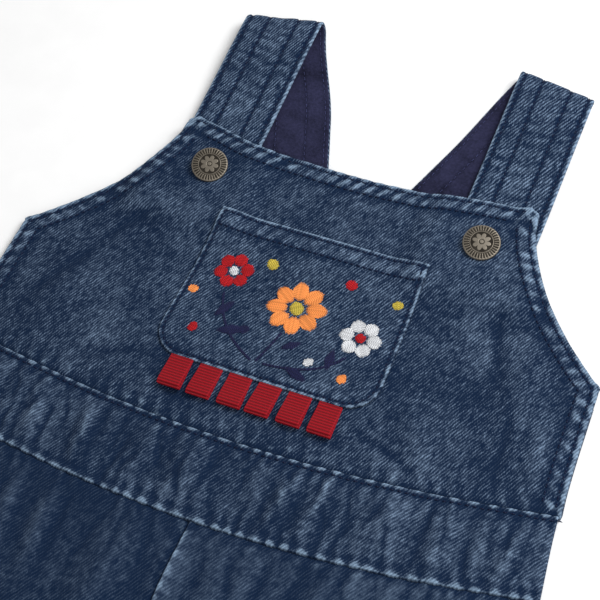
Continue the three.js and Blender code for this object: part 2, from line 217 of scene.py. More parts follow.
def lineField(x, y, line):
    # distance to the nearest point of a line of short pieces, and the length along it to there
    points = np.stack([np.ravel(x), np.ravel(y)], 1)
    reach = np.diff(line, axis=0)
    size = np.linalg.norm(reach, axis=1)
    gap = points[:, None, :] - line[:-1][None]
    t = np.clip((gap * reach).sum(2) / (size ** 2), 0, 1)
    distance = np.linalg.norm(gap - t[..., None] * reach, axis=2)
    nearest = distance.argmin(1)
    pick = np.arange(len(points))
    run = runOf(line)[nearest] + t[pick, nearest] * size[nearest]
    return distance[pick, nearest].reshape(np.shape(x)), run.reshape(np.shape(x))


def offsetLine(line, distance):  # the line moved sideways, to its left as it is followed
    way = unit(np.gradient(line, axis=0))
    return line + distance * np.stack([-way[:, 1], way[:, 0]], 1)


def upright(x, y, z):  # paths of threads, with their upward direction
    paths = np.stack([x, y, z], -1)
    return paths, np.broadcast_to((0.0, 0.0, 1.0), paths.shape)


def stitchPaths(line, panel, pitch=stitch["pitch"], length=stitch["length"], trim=(1.5, 1.5),
                steps=5, lift=stitch["lift"]):
    # a row of stitches along a line, each following the cloth and diving into it at both ends
    run = runOf(line)
    t = np.linspace(0, 1, steps)
    at = np.arange(trim[0], run[-1] - trim[1] - length, pitch)[:, None] + t * length
    x, y = np.interp(at, run, line[:, 0]), np.interp(at, run, line[:, 1])
    return upright(x, y, faceOf(panel, x, y)[0] + lift - stitch["dive"] * (2 * t - 1) ** 4)


def joined(rows):
    return np.concatenate([r[0] for r in rows]), np.concatenate([r[1] for r in rows])


def sewRows(name, rows):
    return declare(threadTubes(name, *joined(rows), stitch["radius"], topstitch))


def plug(tree, socket, value):  # a link from another node, or a plain value
    if isinstance(value, bpy.types.NodeSocket):
        tree.links.new(value, socket)
    else:
        socket.default_value = value


def node(tree, kind, sockets=None, **settings):
    made = tree.nodes.new("ShaderNode" + kind)
    for key, value in settings.items():
        setattr(made, key, value)
    for key, value in (sockets or {}).items():
        plug(tree, made.inputs[key], value)
    return made


def calc(tree, operation, a, b=0.0, clamp=False):
    return node(tree, "Math", {0: a, 1: b}, operation=operation, use_clamp=clamp).outputs[0]


def scaled(tree, value, by, plus=0.0, clamp=False):  # value times by, plus plus
    settings = {"operation": "MULTIPLY_ADD", "use_clamp": clamp}
    return node(tree, "Math", {0: value, 1: by, 2: plus}, **settings).outputs[0]


def wave(tree, angle):  # between 0 and 1
    return scaled(tree, calc(tree, "SINE", angle), 0.5, 0.5)


def blend(tree, factor, a, b, mode="MIX"):
    return node(tree, "Mix", {0: factor, 6: a, 7: b}, data_type="RGBA", blend_type=mode).outputs[2]


def ranged(tree, value, low, high, toLow=0.0, toHigh=1.0):
    sockets = {0: value, 1: low, 2: high, 3: toLow, 4: toHigh}
    return node(tree, "MapRange", sockets, interpolation_type="SMOOTHSTEP").outputs[0]


def speckle(tree, vector, scale, detail=2.0, rough=0.5):
    sockets = {"Vector": vector, "Scale": scale, "Detail": detail, "Roughness": rough}
    return node(tree, "TexNoise", sockets).outputs[0]


def attribute(tree, name):
    return node(tree, "Attribute", attribute_name=name).outputs["Fac"]


def clothMap(tree):
    return node(tree, "UVMap", uv_map="cloth").outputs[0]


def inMillimetres(tree, vector):  # the vector and its parts
    moved = node(tree, "VectorMath", {0: vector, "Scale": 1000.0}, operation="SCALE").outputs[0]
    return moved, node(tree, "SeparateXYZ", {0: moved}).outputs


def newGroup(name, inputs, outputs):
    tree = bpy.data.node_groups.new(name, "ShaderNodeTree")
    for key, kind, value in inputs:
        made = tree.interface.new_socket(
            name=key, in_out="INPUT", socket_type="NodeSocket" + kind)
        if value is not None:
            made.default_value = value
    for key, kind in outputs:
        tree.interface.new_socket(name=key, in_out="OUTPUT", socket_type="NodeSocket" + kind)
    given = tree.nodes.new("NodeGroupInput").outputs
    return tree, given, tree.nodes.new("NodeGroupOutput").inputs


def linear(red, green, blue):  # a colour read on a screen, as the shader wants it
    part = np.array([red, green, blue]) / 255
    value = np.where(part <= 0.04045, part / 12.92, ((part + 0.055) / 1.055) ** 2.4)
    return (*(float(v) for v in value), 1.0)


# Noises of the twill: scale per mm, detail and roughness. warpPitch is the yarns' spacing in mm
twill = {
    "wander": (0.22, 2.0), "slub": (1.0, 3.0, 0.6), "broken": (1.25, 2.0, 0.6),
    "fleck": (1.9, 1.0), "cloud": (0.045, 4.0, 0.62), "drift": (0.016, 2.0),
    "fine": (0.3, 3.0, 0.6), "warpPitch": 0.62,
    "wash": {"cloud": 1.6, "fine": 1.7, "drift": 1.2}, "wear": 0.26, "shade": -0.24, "power": 1.9,
}


def twillGroup():
    # Cloth coordinates in mm are turned so that x runs across the twill lines. Pale weft shows
    # between dark warp where the sine of x is high, broken up by yarn noise, and wear and wash
    # move the whole mix to the paler or the darker yarn. Shade, which is painted shade, moves it
    # to the darker yarn.
    tree, given, out = newGroup("denimTwill", [
        ("Cloth", "Vector", None), ("Angle", "Float", 1.0), ("Pitch", "Float", 0.9),
        ("Wear", "Float", 0.0), ("Shade", "Float", 0.0), ("Wash", "Float", 0.5),
        ("Grain", "Float", 1.0), ("Level", "Float", 0.36), ("Warp", "Color", None),
        ("Weft", "Color", None), ("Worn", "Color", None)],
        [("Color", "Color"), ("Height", "Float"), ("Roughness", "Float")])
    inMm, plain = inMillimetres(tree, given["Cloth"])
    turned = node(tree, "VectorRotate", {"Vector": inMm, "Angle": given["Angle"]},
                  rotation_type="Z_AXIS").outputs[0]

    def stretched(vector, by):
        return node(tree, "VectorMath", {0: vector, 1: by}, operation="MULTIPLY").outputs[0]

    def centred(value, by):  # noise moved to lie round zero
        return scaled(tree, value, by, -by / 2)

    parts = node(tree, "SeparateXYZ", {0: turned}).outputs
    across = scaled(tree, speckle(tree, inMm, *twill["wander"]), 1.1, parts[0])
    phase = calc(tree, "DIVIDE", across, given["Pitch"])
    line = wave(tree, calc(tree, "MULTIPLY", phase, 2 * math.pi))
    # floats: each pale line is cut where the next warp yarn crosses it
    yarn = wave(tree, calc(tree, "MULTIPLY", plain[0], 2 * math.pi / twill["warpPitch"]))
    floats = calc(tree, "MULTIPLY", line, scaled(tree, yarn, 0.45, 0.55))
    slub = speckle(tree, stretched(inMm, (1.5, 0.16, 1.0)), *twill["slub"])
    broken = speckle(tree, stretched(turned, (1.1, 0.24, 1.0)), *twill["broken"])
    fleck = ranged(tree, speckle(tree, inMm, *twill["fleck"]), 0.55, 0.8)
    noise = {key: speckle(tree, inMm, *twill[key]) for key in twill["wash"]}
    show = calc(tree, "MULTIPLY", floats, ranged(tree, broken, 0.3, 0.66, 0.25, 1.3))
    # tone goes from warp to weft evenly to the eye, so it is raised to a power before the mix
    yarns = scaled(tree, show, 0.62, scaled(tree, fleck, 0.42, -0.32))
    yarns = calc(tree, "ADD", yarns, centred(slub, 0.8))
    tone = scaled(tree, yarns, given["Grain"], given["Level"])
    cloud, fine, drift = (centred(noise[key], by) for key, by in twill["wash"].items())
    washed = calc(tree, "ADD", calc(tree, "ADD", cloud, fine), drift)
    tone = scaled(tree, washed, given["Wash"], tone)
    tone = scaled(tree, given["Wear"], twill["wear"], tone)
    # painted shade: the shade attribute darkens the mix here
    tone = scaled(tree, given["Shade"], twill["shade"], tone, clamp=True)
    tone = calc(tree, "MAXIMUM", tone, calc(tree, "MULTIPLY", show, 0.3))
    total = calc(tree, "POWER", tone, twill["power"])
    edge = calc(tree, "ADD", given["Wear"], centred(noise["fine"], 1.6))
    rubbed = calc(tree, "MULTIPLY", ranged(tree, edge, 0.45, 1.35),
                  scaled(tree, show, 0.75, 0.3), clamp=True)
    colour = blend(tree, total, given["Warp"], given["Weft"])
    plug(tree, out["Color"], blend(tree, rubbed, colour, given["Worn"]))
    height = scaled(tree, floats, 0.55, calc(tree, "MULTIPLY", broken, 0.5))
    plug(tree, out["Height"], scaled(tree, fleck, 0.2, height))
    plug(tree, out["Roughness"], ranged(tree, total, 0.0, 1.0, 0.82, 0.96))
    return tree


def twistGroup():
    # a two-ply thread: slanting bands, a sine of length over pitch plus the turn round the thread;
    # the bands' low parts take the darker valley colour, painted shade in the grooves of the twist
    tree, given, out = newGroup("twistedThread", [
        ("Cloth", "Vector", None), ("Tone", "Float", 0.5), ("Pitch", "Float", 0.7),
        ("Thread", "Color", None), ("ValleyShade", "Color", None)],
        [("Color", "Color"), ("Height", "Float")])
    parts = node(tree, "SeparateXYZ", {0: given["Cloth"]}).outputs
    inMm = calc(tree, "MULTIPLY", parts[1], 1000.0)
    phase = calc(tree, "DIVIDE", inMm, given["Pitch"])
    band = wave(tree, scaled(tree, phase, 2 * math.pi, parts[0]))
    colour = blend(tree, ranged(tree, band, 0.0, 0.55), given["ValleyShade"], given["Thread"])
    lighter = scaled(tree, given["Tone"], 0.3, 0.85)
    shade = node(tree, "CombineColor", {0: lighter, 1: lighter, 2: lighter}).outputs[0]
    plug(tree, out["Color"], blend(tree, 1.0, colour, shade, "MULTIPLY"))
    plug(tree, out["Height"], band)
    return tree


shared = {"twill": twillGroup(), "twist": twistGroup()}


def newMaterial(name, **constants):
    material = bpy.data.materials.new(name)
    material.use_nodes = True
    shader = material.node_tree.nodes["Principled BSDF"]
    for key, value in constants.items():
        shader.inputs[key.replace("_", " ")].default_value = value
    return material, material.node_tree, shader


def useGroup(tree, group, sockets):
    made = tree.nodes.new("ShaderNodeGroup")
    made.node_tree = group
    for key, value in sockets.items():
        plug(tree, made.inputs[key], value)
    return made.outputs


def bumped(tree, shader, height, distance, strength=1.0):
    made = node(tree, "Bump", {"Strength": strength, "Distance": distance, "Height": height})
    plug(tree, shader.inputs["Normal"], made.outputs[0])


# Colours are as read on a screen. Pitch and angle are of the twill lines, in mm and degrees,
# wash is how blotchy the blue is, grain how far the yarns stand apart and level how pale it is
denim = {
    "warp": linear(11, 30, 56), "weft": linear(128, 150, 177), "worn": linear(134, 158, 182),
    "bump": 0.0003,
    "parts": {
        "bib": {"pitch": 1.18, "angle": 28, "wash": 0.46, "grain": 0.95, "level": 0.34},
        "waistband": {"pitch": 1.2, "angle": 33, "wash": 0.44, "grain": 0.76, "level": 0.37},
        "leg": {"pitch": 1.24, "angle": 32, "wash": 0.36, "grain": 0.42, "level": 0.3},
        "strap": {"pitch": 1.3, "angle": 28, "wash": 0.36, "grain": 1.2, "level": 0.46},
        "pocket": {"pitch": 1.2, "angle": 31, "wash": 0.45, "grain": 1.05, "level": 0.42},
        "back": {"pitch": 1.2, "angle": 36, "wash": 0.5, "grain": 1.0, "level": 0.36}},
}


def denimMaterial(part):
    look = denim["parts"][part]
    settings = {"Sheen_Weight": 0.02, "Specular_IOR_Level": 0.06}
    material, tree, shader = newMaterial("denim_" + part, **settings)
    out = useGroup(tree, shared["twill"], {
        "Cloth": clothMap(tree), "Angle": math.radians(look["angle"]), "Pitch": look["pitch"],
        "Wash": look["wash"], "Grain": look["grain"], "Level": look["level"],
        "Wear": attribute(tree, "wear"), "Shade": attribute(tree, "shade"),
        "Warp": denim["warp"], "Weft": denim["weft"], "Worn": denim["worn"]})
    plug(tree, shader.inputs["Base Color"], out["Color"])
    plug(tree, shader.inputs["Roughness"], out["Roughness"])
    bumped(tree, shader, out["Height"], denim["bump"])
    return material


lining = {
    "yarn": linear(53, 54, 84), "between": linear(20, 22, 40), "pitch": 0.42, "bump": 0.00012}


def liningMaterial():
    settings = {"Roughness": 0.9, "Sheen_Weight": 0.03, "Specular_IOR_Level": 0.05}
    material, tree, shader = newMaterial("navy_cotton", **settings)
    inMm, parts = inMillimetres(tree, clothMap(tree))
    turns = 2 * math.pi / lining["pitch"]
    warp, weft = (calc(tree, "SINE", calc(tree, "MULTIPLY", parts[k], turns)) for k in (0, 1))
    weave = scaled(tree, calc(tree, "MULTIPLY", warp, weft), 0.5, 0.5)
    cloud = scaled(tree, speckle(tree, inMm, 0.12, 3.0, 0.6), 0.9, -0.2)
    tone = calc(tree, "ADD", calc(tree, "MULTIPLY", weave, 0.5), cloud)
    tone = calc(tree, "ADD", tone, scaled(tree, speckle(tree, inMm, 0.8), 1.0, -0.4))
    # painted shade from the shade attribute darkens the lining
    tone = scaled(tree, attribute(tree, "shade"), -0.5, tone, clamp=True)
    plug(tree, shader.inputs["Base Color"], blend(tree, tone, lining["between"], lining["yarn"]))
    bumped(tree, shader, weave, lining["bump"])
    return material


# the second colour is painted shade in the grooves of the thread's twist
def threadMaterial(name, colour, valleyShade, sheen=0.0, roughness=0.6):
    settings = {"Roughness": roughness, "Sheen_Weight": sheen, "Specular_IOR_Level": 0.12}
    material, tree, shader = newMaterial(name, **settings)
    out = useGroup(tree, shared["twist"], {
        "Cloth": clothMap(tree), "Tone": attribute(tree, "tone"), "Pitch": thread["pitch"],
        "Thread": colour, "ValleyShade": valleyShade})
    plug(tree, shader.inputs["Base Color"], out["Color"])
    bumped(tree, shader, out["Height"], thread["bump"])
    return material


# topstitch: its navy, then a darker navy painted as shade in the twist's grooves
topstitch = threadMaterial("topstitch_thread", linear(24, 33, 62), linear(9, 14, 34))
navyCotton = liningMaterial()
denims = {part: denimMaterial(part) for part in denim["parts"]}

# The garment as cut, in mm. layer and ply are the air between two cloths
cloth = {
    "denim": 1.2, "strap": 1.0, "lining": 0.6, "patch": 1.0, "layer": 0.4, "ply": 0.3,
    "seamGap": 0.3}
bib = {
    "topMiddle": -14.9, "topCurve": 0.0012, "cornerHalf": 83.0, "cornerY": -10.0,
    "cornerDrop": 4.0, "cornerRound": 8.0, "underarmHalf": 132.0, "underarmY": -94.0,
    "bend": 1.58, "hem": 8.0,
}
backBib = {"cornerHalf": 43.0, "cornerY": -58.0, "bend": 1.5, "askew": 5.0}
upperSeam = {"middle": -154.0, "curve": 0.00075}
lowerSeam = {"middle": -191.0, "curve": 0.0008}
legs = {"crotchY": -318.0, "hemY": -620.0}
sideRows = np.array(
    [(-94, 132), (-142, 134), (-176, 138), (-250, 147), (-340, 147), (-620, 139)], float)
innerRows = np.array([(-318, 0.15), (-345, 7), (-430, 14), (-620, 20)], float)

# Soft folds: place, lean from upright in degrees, half length, width and height
largeFolds = np.array([
    (-100, -112, 28, 34, 15, 1.3), (104, -96, -14, 40, 9, 1.8), (119, -118, -8, 26, 6, 1.4),
    (72, -128, -38, 26, 7, 1.0), (-40, -139, 22, 16, 7, 0.8), (-92, -252, 16, 62, 11, 2.4),
    (96, -248, -12, 66, 12, 2.2), (-24, -236, 9, 46, 9, 2.0), (30, -240, -12, 44, 9, 1.8),
    (-44, -322, 58, 42, 8, 2.2), (40, -318, -54, 40, 8, 2.4), (-98, -372, -6, 78, 13, 2.2),
    (90, -384, 8, 82, 14, 2.4), (-70, -452, 64, 36, 9, 2.0), (84, -462, -60, 38, 9, 1.9),
    (-58, -534, 6, 62, 11, 1.8), (66, -528, -7, 66, 12, 2.0)], float)
gatherRows = [
    {"count": 17, "span": 252, "seam": upperSeam, "below": 18.5,
     "length": 23, "width": 4.6, "height": 2.3},
    {"count": 15, "span": 250, "seam": lowerSeam, "below": 25,
     "length": 32, "width": 5.2, "height": 1.9}]

# Creases are narrow valleys pressed in beside the seams: rows of count across span, centred below
# the seam, and single ones as place, lean, half length, width and depth
creaseRows = [
    {"count": 19, "span": 250, "seam": upperSeam, "below": 13,
     "length": 12, "width": 1.7, "depth": 0.5},
    {"count": 17, "span": 244, "seam": lowerSeam, "below": -12,
     "length": 12, "width": 1.6, "depth": 0.5},
    {"count": 21, "span": 262, "seam": lowerSeam, "below": 18,
     "length": 17, "width": 1.5, "depth": 0.36}]
creases = np.array([
    (95, -222, 2, 30, 1.5, 0.6), (-95, -222, -2, 30, 1.5, 0.6), (112, -62, -24, 17, 1.8, 0.5),
    (98, -52, -30, 14, 1.6, 0.45), (88, -78, -14, 20, 2.2, 0.45), (104, -118, -10, 22, 2.0, 0.5),
    (-86, -70, 34, 18, 2.2, 0.4), (-104, -104, 22, 24, 2.4, 0.45), (-66, -132, 58, 16, 2.0, 0.4),
    (62, -138, -66, 18, 2.0, 0.4), (20, -132, 74, 16, 2.2, 0.35)], float)


def seamY(seam, x):
    return seam["middle"] + seam["curve"] * x * x


def seamLine(seam, reach, lift):
    x = np.linspace(-reach, reach, 61)
    return np.stack([x, seamY(seam, x) + lift], 1)


def halfAt(rows, y):
    # smooth curve through rows of (y, half width), y falling from row to row
    ys, halves = rows[:, 0], rows[:, 1]
    last = len(rows) - 1
    low, high = np.minimum(np.arange(last + 1) + 1, last), np.maximum(np.arange(last + 1) - 1, 0)
    slope = (halves[low] - halves[high]) / (ys[low] - ys[high])
    k = np.searchsorted(-ys, -np.asarray(y, float), side="right") - 1
    k = np.clip(k, 0, last - 1)
    run = ys[k + 1] - ys[k]
    t = np.clip((y - ys[k]) / run, 0, 1)
    straight = mix(halves[k], halves[k + 1], 3 * t ** 2 - 2 * t ** 3)
    return straight + t * (1 - t) ** 2 * run * slope[k] + t ** 2 * (t - 1) * run * slope[k + 1]


def bodyHalf(piece, y):
    # half width of the front or back bib down to the underarm, and of the side seams below it
    t = np.clip((piece["cornerY"] - y) / (piece["cornerY"] - bib["underarmY"]), 0, 1)
    above = mix(piece["cornerHalf"], bib["underarmHalf"], t ** piece["bend"])
    return np.where(y <= bib["underarmY"], halfAt(sideRows, y), above)


def bibTopY(x):
    corner = smooth(bib["cornerHalf"] - bib["cornerRound"], bib["cornerHalf"] + 2, np.abs(x))
    dips = 1.8 * bell(x + 48, 13) + 1.2 * bell(x - 74, 9)
    return bib["topMiddle"] + bib["topCurve"] * x * x - bib["cornerDrop"] * corner ** 2 - dips


def gatherFolds(row):
    i = np.arange(row["count"])
    apart = row["span"] / (row["count"] - 1)
    x = -row["span"] / 2 + apart * (i + 0.3 * np.sin(2.4 * i + row["count"]))
    y = seamY(row["seam"], x) - row["below"] + 2 * np.sin(3.1 * i)
    length = row["length"] * (1 + 0.15 * np.sin(4.2 * i))
    width = row["width"] * (1 + 0.25 * np.sin(5.3 * i + 2))
    height = row["height"] * (0.65 + 0.35 * np.sin(1.9 * i + 1))
    return np.stack([x, y, 9 * np.sin(1.3 * i + 0.5), length, width, height], 1)


def creaseRow(k, row):
    rng = np.random.default_rng(500 + k)
    i = np.arange(row["count"])
    x = row["span"] * (i / (row["count"] - 1) - 0.5) + rng.uniform(-5, 5, len(i))
    y = seamY(row["seam"], x) - row["below"] + rng.uniform(-3, 3, len(i))
    size = rng.uniform(0.55, 1.2, (3, len(i)))
    parts = [row[key] * size[n] for n, key in enumerate(("length", "width", "depth"))]
    return np.stack([x, y, rng.uniform(-12, 12, len(i))] + parts, 1)


folds = np.concatenate([largeFolds] + [gatherFolds(row) for row in gatherRows])
creases = np.concatenate([creases] + [creaseRow(k, row) for k, row in enumerate(creaseRows)])


def alongAndAcross(x, y, fold):  # of the fold's own line, along it as a share of its half length
    turn = math.radians(fold[2])
    dx, dy = x - fold[0], y - fold[1]
    along = (dx * math.sin(turn) + dy * math.cos(turn)) / fold[3]
    return along, dx * math.cos(turn) - dy * math.sin(turn)


def foldHeight(x, y):
    total = np.zeros(np.broadcast(x, y).shape)
    for fold in folds:
        along, across = alongAndAcross(x, y, fold)
        swell = fold[5] * bell(across, fold[4]) * (1 - along ** 2) ** 2
        total += np.where(np.abs(along) < 1, swell, 0)
    return total


def creaseDepth(x, y):
    total = np.zeros(np.broadcast(x, y).shape)
    for crease in creases:
        along, across = alongAndAcross(x, y, crease)
        bent = across + 1.2 * np.sin(2.2 * along + crease[0])
        deep = crease[5] * bell(bent, crease[4]) * (1 - along ** 2)
        total += np.where(np.abs(along) < 1, deep, 0)
    return np.minimum(total, 0.9)


# Where the front climbs over the straps and over their ends, in from the sides and up from below,
# how much higher it lies there, and how far the body and the legs puff up
lying = {
    "strapSide": (85, 70), "strapFrom": (-80, -66), "endInner": (30, 46), "endOuter": (102, 86),
    "endFrom": (-69, -54), "overEnd": 3.4, "body": 1.6, "leg": 2.0, "puffFrom": (-74, -124)}


def frontUnder(x, y):
    # underside of the front cloth: above the back, the straps and the strap ends, with the folds
    side = np.abs(x)
    overStraps = smooth(*lying["strapSide"], side) * smooth(*lying["strapFrom"], y)
    overEnds = smooth(*lying["endInner"], side) * smooth(*lying["endOuter"], side)
    overEnds = overEnds * smooth(*lying["endFrom"], y)
    inner, outer = halfAt(innerRows, y), halfAt(sideRows, y)
    acrossLeg = np.minimum(1, np.abs(side - (inner + outer) / 2) / ((outer - inner) / 2))
    acrossBody = np.minimum(1, side / outer)
    legShare = smooth(lowerSeam["middle"] - 20, legs["crotchY"] - 20, y)
    body, leg = lying["body"] * (1 - acrossBody ** 4), lying["leg"] * (1 - acrossLeg ** 2)
    puff = mix(body, leg, legShare) * smooth(*lying["puffFrom"], y)
    lifted = mix(overStraps, lying["overEnd"], overEnds) + puff
    folded = foldHeight(x, y) * smooth(0, 7, outer - side + 3)
    return cloth["denim"] + cloth["layer"] + lifted + folded


# hem: folded width and rise; rows: stitch rows, from the edge; pucker: height, pitch and slant of
# the ripples, spread: how far in they reach, light and deep: their wear and painted shade; wear:
# width and strength of the rubbed edge; rope: ripple along it; sink: how far the cloth beside a
# seam sinks, with painted shade on it; dim: painted shade over a wider band beside the seam
plainEdge = {
    "hem": 0, "rise": 0, "rows": (), "wear": (0.1, 0), "rope": 0, "light": 0.4, "deep": 1.0,
    "sink": 0, "dim": 0}
edgeKinds = {
    "bibTop": {
        "hem": 8.0, "rise": 0.5, "rows": (2.3, 7.7), "pucker": (0.38, 6.2, 0.75),
        "wear": (1.1, 0.95), "rope": 0.12, "light": 0.75, "deep": 0.8},
    "armhole": {
        "hem": 8.5, "rise": 0.5, "rows": (2.6, 8.0), "pucker": (0.3, 6.8, 0.5),
        "wear": (1.7, 1.0), "rope": 0.12, "light": 0.55, "deep": 0.4},
    "bibFoot": {"pucker": (0.26, 7.5, 0.2), "spread": 8, "sink": 0.55, "dim": 0.35},
    "bandTop": {
        "hem": 2.2, "rise": 0.35, "rows": (2.2,), "pucker": (0.34, 6.5, 0.25),
        "wear": (1.0, 0.5), "rope": 0.12, "spread": 7, "dim": 0.3},
    "bandFoot": {
        "hem": 2.4, "rise": 0.55, "pucker": (0.3, 7.0, 0.25), "wear": (1.15, 0.75),
        "rope": 0.18, "spread": 7, "dim": 0.45},
    "legTop": {"pucker": (0.25, 7.5, 0.3), "spread": 7, "sink": 0.5, "dim": 0.55},
    "legMiddle": {
        "hem": 2.6, "rise": 0.45, "pucker": (0.12, 8.0, 0.3), "wear": (1.7, 0.7),
        "rope": 0.12, "spread": 4},
    "legUnder": {"pucker": (0.12, 8.0, 0.3), "spread": 4, "sink": 0.6},
    "legInner": {"pucker": (0.12, 9.0, 0.3), "wear": (0.8, 0.4), "spread": 5},
    "legSide": {
        "rows": (3.2,), "pucker": (0.16, 8.0, 0.3), "wear": (0.9, 0.55), "rope": 0.1,
        "spread": 5},
    "legHem": {
        "hem": 22.0, "rise": 0.6, "rows": (2.0, 20.8), "pucker": (0.24, 8.5, 0.9),
        "wear": (1.2, 0.95), "rope": 0.2, "spread": 9},
    "pocketTop": {
        "hem": 10.0, "rise": 0.5, "rows": (2.0, 9.2), "pucker": (0.16, 6.5, 0.6),
        "wear": (1.1, 0.95), "rope": 0.1},
    "pocketSide": {
        "rows": (1.9,), "pucker": (0.16, 6.0, 0.4), "wear": (0.9, 0.75), "rope": 0.1,
        "spread": 4},
}


# What all edges share: depth, painted shade and widths of a row of stitches, the line of painted
# shade by a hem's fold and how far off it lies, pitch of the rope, and width and painted shade of
# the cloth beside a seam
sewnLook = {
    "rowDepth": 0.3, "rowShade": 1.6, "rowWide": 0.85, "shadeWide": 0.6, "foldShade": 0.45,
    "foldOff": 0.9, "step": 0.7, "ropePitch": 2.6, "ropeWide": 1.3, "dimWide": 6,
    "sinkWide": 1.6, "sinkShade": 2.2}


def curlDrop(edge):  # how far the upper face falls where it rounds over at an edge
    curl = wall["curl"]
    return curl - np.sqrt(curl ** 2 - np.clip(curl - edge, 0, curl) ** 2)


def edgeDetail(x, y, edges, seed):
    # height, wear and painted shade that the edges give a point: each falls off with the distance
    # to the edge and ripples with the length along it
    height, wear, shade = (np.zeros(np.shape(x)) for _ in range(3))
    wobble = softNoise(x, y, 9, seed) * 0.3
    for kind, line in edges:
        look = plainEdge | edgeKinds[kind]
        d, s = lineField(x, y, line)
        hem = look["hem"]
        if hem:
            height += look["rise"] * smooth(hem + sewnLook["step"], hem - sewnLook["step"], d)
            # a line of painted shade just past the hem's folded-under edge
            fold = smooth(1.4, 0, np.abs(d - hem - sewnLook["foldOff"])) * smooth(2, 5, hem)
            shade += sewnLook["foldShade"] * fold
        high, pitch, slant = look["pucker"]
        middle = hem / 2 if hem > 5 else 0
        swell = bell(d - middle, look.get("spread", hem * 0.62))
        bent = 5 * softNoise(s, 0 * s, 17, seed + 3)
        ripple = np.sin(2 * np.pi * (s + slant * d) / pitch + bent)
        ripple *= 0.65 + 0.5 * softNoise(s, 0 * s, 8, seed + 5)
        height += high * ripple * swell
        wear += look["light"] * np.clip(ripple + 0.3, 0, 1) * swell
        # painted shade in the puckers' hollows, and over a band beside a seam
        shade += look["deep"] * np.clip(-ripple, 0, 1) * swell
        shade += look["dim"] * bell(d, sewnLook["dimWide"])
        # each stitch row is a groove with painted shade along it
        for row in look["rows"]:
            height -= sewnLook["rowDepth"] * bell(d - row, sewnLook["rowWide"])
            shade += sewnLook["rowShade"] * bell(d - row, sewnLook["shadeWide"])
        wide, strong = look["wear"]
        rope = 0.5 + 0.5 * np.sin(2 * np.pi * s / sewnLook["ropePitch"] + 2.5 * wobble)
        rub = strong * smooth(wide * 1.5, wide * 0.4, d) * (0.8 + 1.2 * wobble)
        wear += rub * mix(1, 0.7 + 0.4 * rope, min(1, look["rope"] * 4))
        height += look["rope"] * rope * bell(d, sewnLook["ropeWide"]) - curlDrop(d)
        # the cloth beside a seam sinks, with painted shade on it
        height -= look["sink"] * bell(d, sewnLook["sinkWide"])
        shade += sewnLook["sinkShade"] * look["sink"] * bell(d, sewnLook["sinkWide"] + 0.1)
    return height, wear, shade


def smallWrinkles(x, y, seed):
    wide = softNoise(x * 0.8 + y * 0.3, y, 17, seed) * 0.2
    narrow = softNoise(x + 0.25 * y, y * 0.35, 6.5, seed + 1) * 0.13
    return wide + narrow + softNoise(x, y, 3.2, seed + 2) * 0.04


def boxBlur(values, reach):
    size = 2 * reach + 1
    for _ in range(2):  # down the rows, then, turned, down the columns
        padded = np.pad(values, [(reach, reach), (0, 0)], mode="edge")
        total = np.insert(np.cumsum(padded, axis=0), 0, 0, axis=0)
        values = ((total[size:] - total[:-size]) / size).T
    return values


# A panel is a cloth on a plan grid: the height under it, its edges, seed, thickness, and how
# strongly it wrinkles
def newPanel(under, edges, seed, thickness=cloth["denim"], ripple=1.0):
    return {"under": under, "edges": edges, "seed": seed, "thickness": thickness,
            "ripple": ripple}


def faceOf(panel, x, y):
    # height of the panel's upper face, the depth of its creases, its wear and shade
    height, wear, shade = edgeDetail(x, y, panel["edges"], panel["seed"])
    pressed = creaseDepth(x, y) * min(panel["ripple"] * 2, 1)
    height += panel["ripple"] * smallWrinkles(x, y, panel["seed"] + 20)
    return panel["under"](x, y) + panel["thickness"] + height - pressed, pressed, wear, shade


# reach: blur reach in grid cells; step: height of one unit of crest; rub: pale wear on crests;
# dark and crease: painted shade in hollows and in pressed creases; most: the largest crest used
relief = {"reach": 5, "step": 0.42, "rub": 0.36, "dark": 0.9, "crease": 1.5, "most": 1.6}


def makePanel(name, replaces, x, y, panel, part, shade=0.0, crests=1.0):
    # crests stand over the height round them and wear pale; hollows below it and pressed creases
    # get painted shade, and shade adds painted shade over the whole panel
    top, pressed, rub, dark = faceOf(panel, x, y)
    crest = (top - boxBlur(top, relief["reach"])) / relief["step"]
    rub = rub + relief["rub"] * crests * np.clip(crest, 0, relief["most"])
    dark = dark + relief["crease"] * crests * pressed + shade
    dark = dark + relief["dark"] * crests * np.clip(-crest, 0, relief["most"])
    outer, inner = np.stack([x, y, top], -1), np.stack([x, y, panel["under"](x, y)], -1)
    uv, values = np.stack([x, y], -1) / 1000, {"wear": rub, "shade": dark}
    return declare(closedWall(name, outer, inner, uv, values, denims[part]), replaces)


def fineSteps(count, length, ends=(0.2, 0.45, 0.8, 1.3, 2.0)):
    # even steps from 0 to 1 with closer ones by both ends, where the edges round over
    near = np.array(ends) / length
    even = np.linspace(near[-1] + 1 / count, 1 - near[-1] - 1 / count, count)
    return np.concatenate([[0], near, even, 1 - near[::-1], [1]])


def bibPlan(v, t):
    # v runs from the top edge to the waist seam, t from armhole to armhole; columns by an armhole
    # keep their distance from it
    row = mix(bib["cornerY"], upperSeam["middle"], v)
    half = bodyHalf(bib, row)
    border = bib["hem"] + 0.8
    edge = np.minimum(t, 1 - t) * 2 * bib["cornerHalf"]
    spread = border + (edge - border) * (half - border) / (bib["cornerHalf"] - border)
    x = np.where(t < 0.5, -1, 1) * (half - np.where(edge <= border, edge, spread))
    return x, mix(bibTopY(x), seamY(upperSeam, x) + cloth["seamGap"] / 2, v)


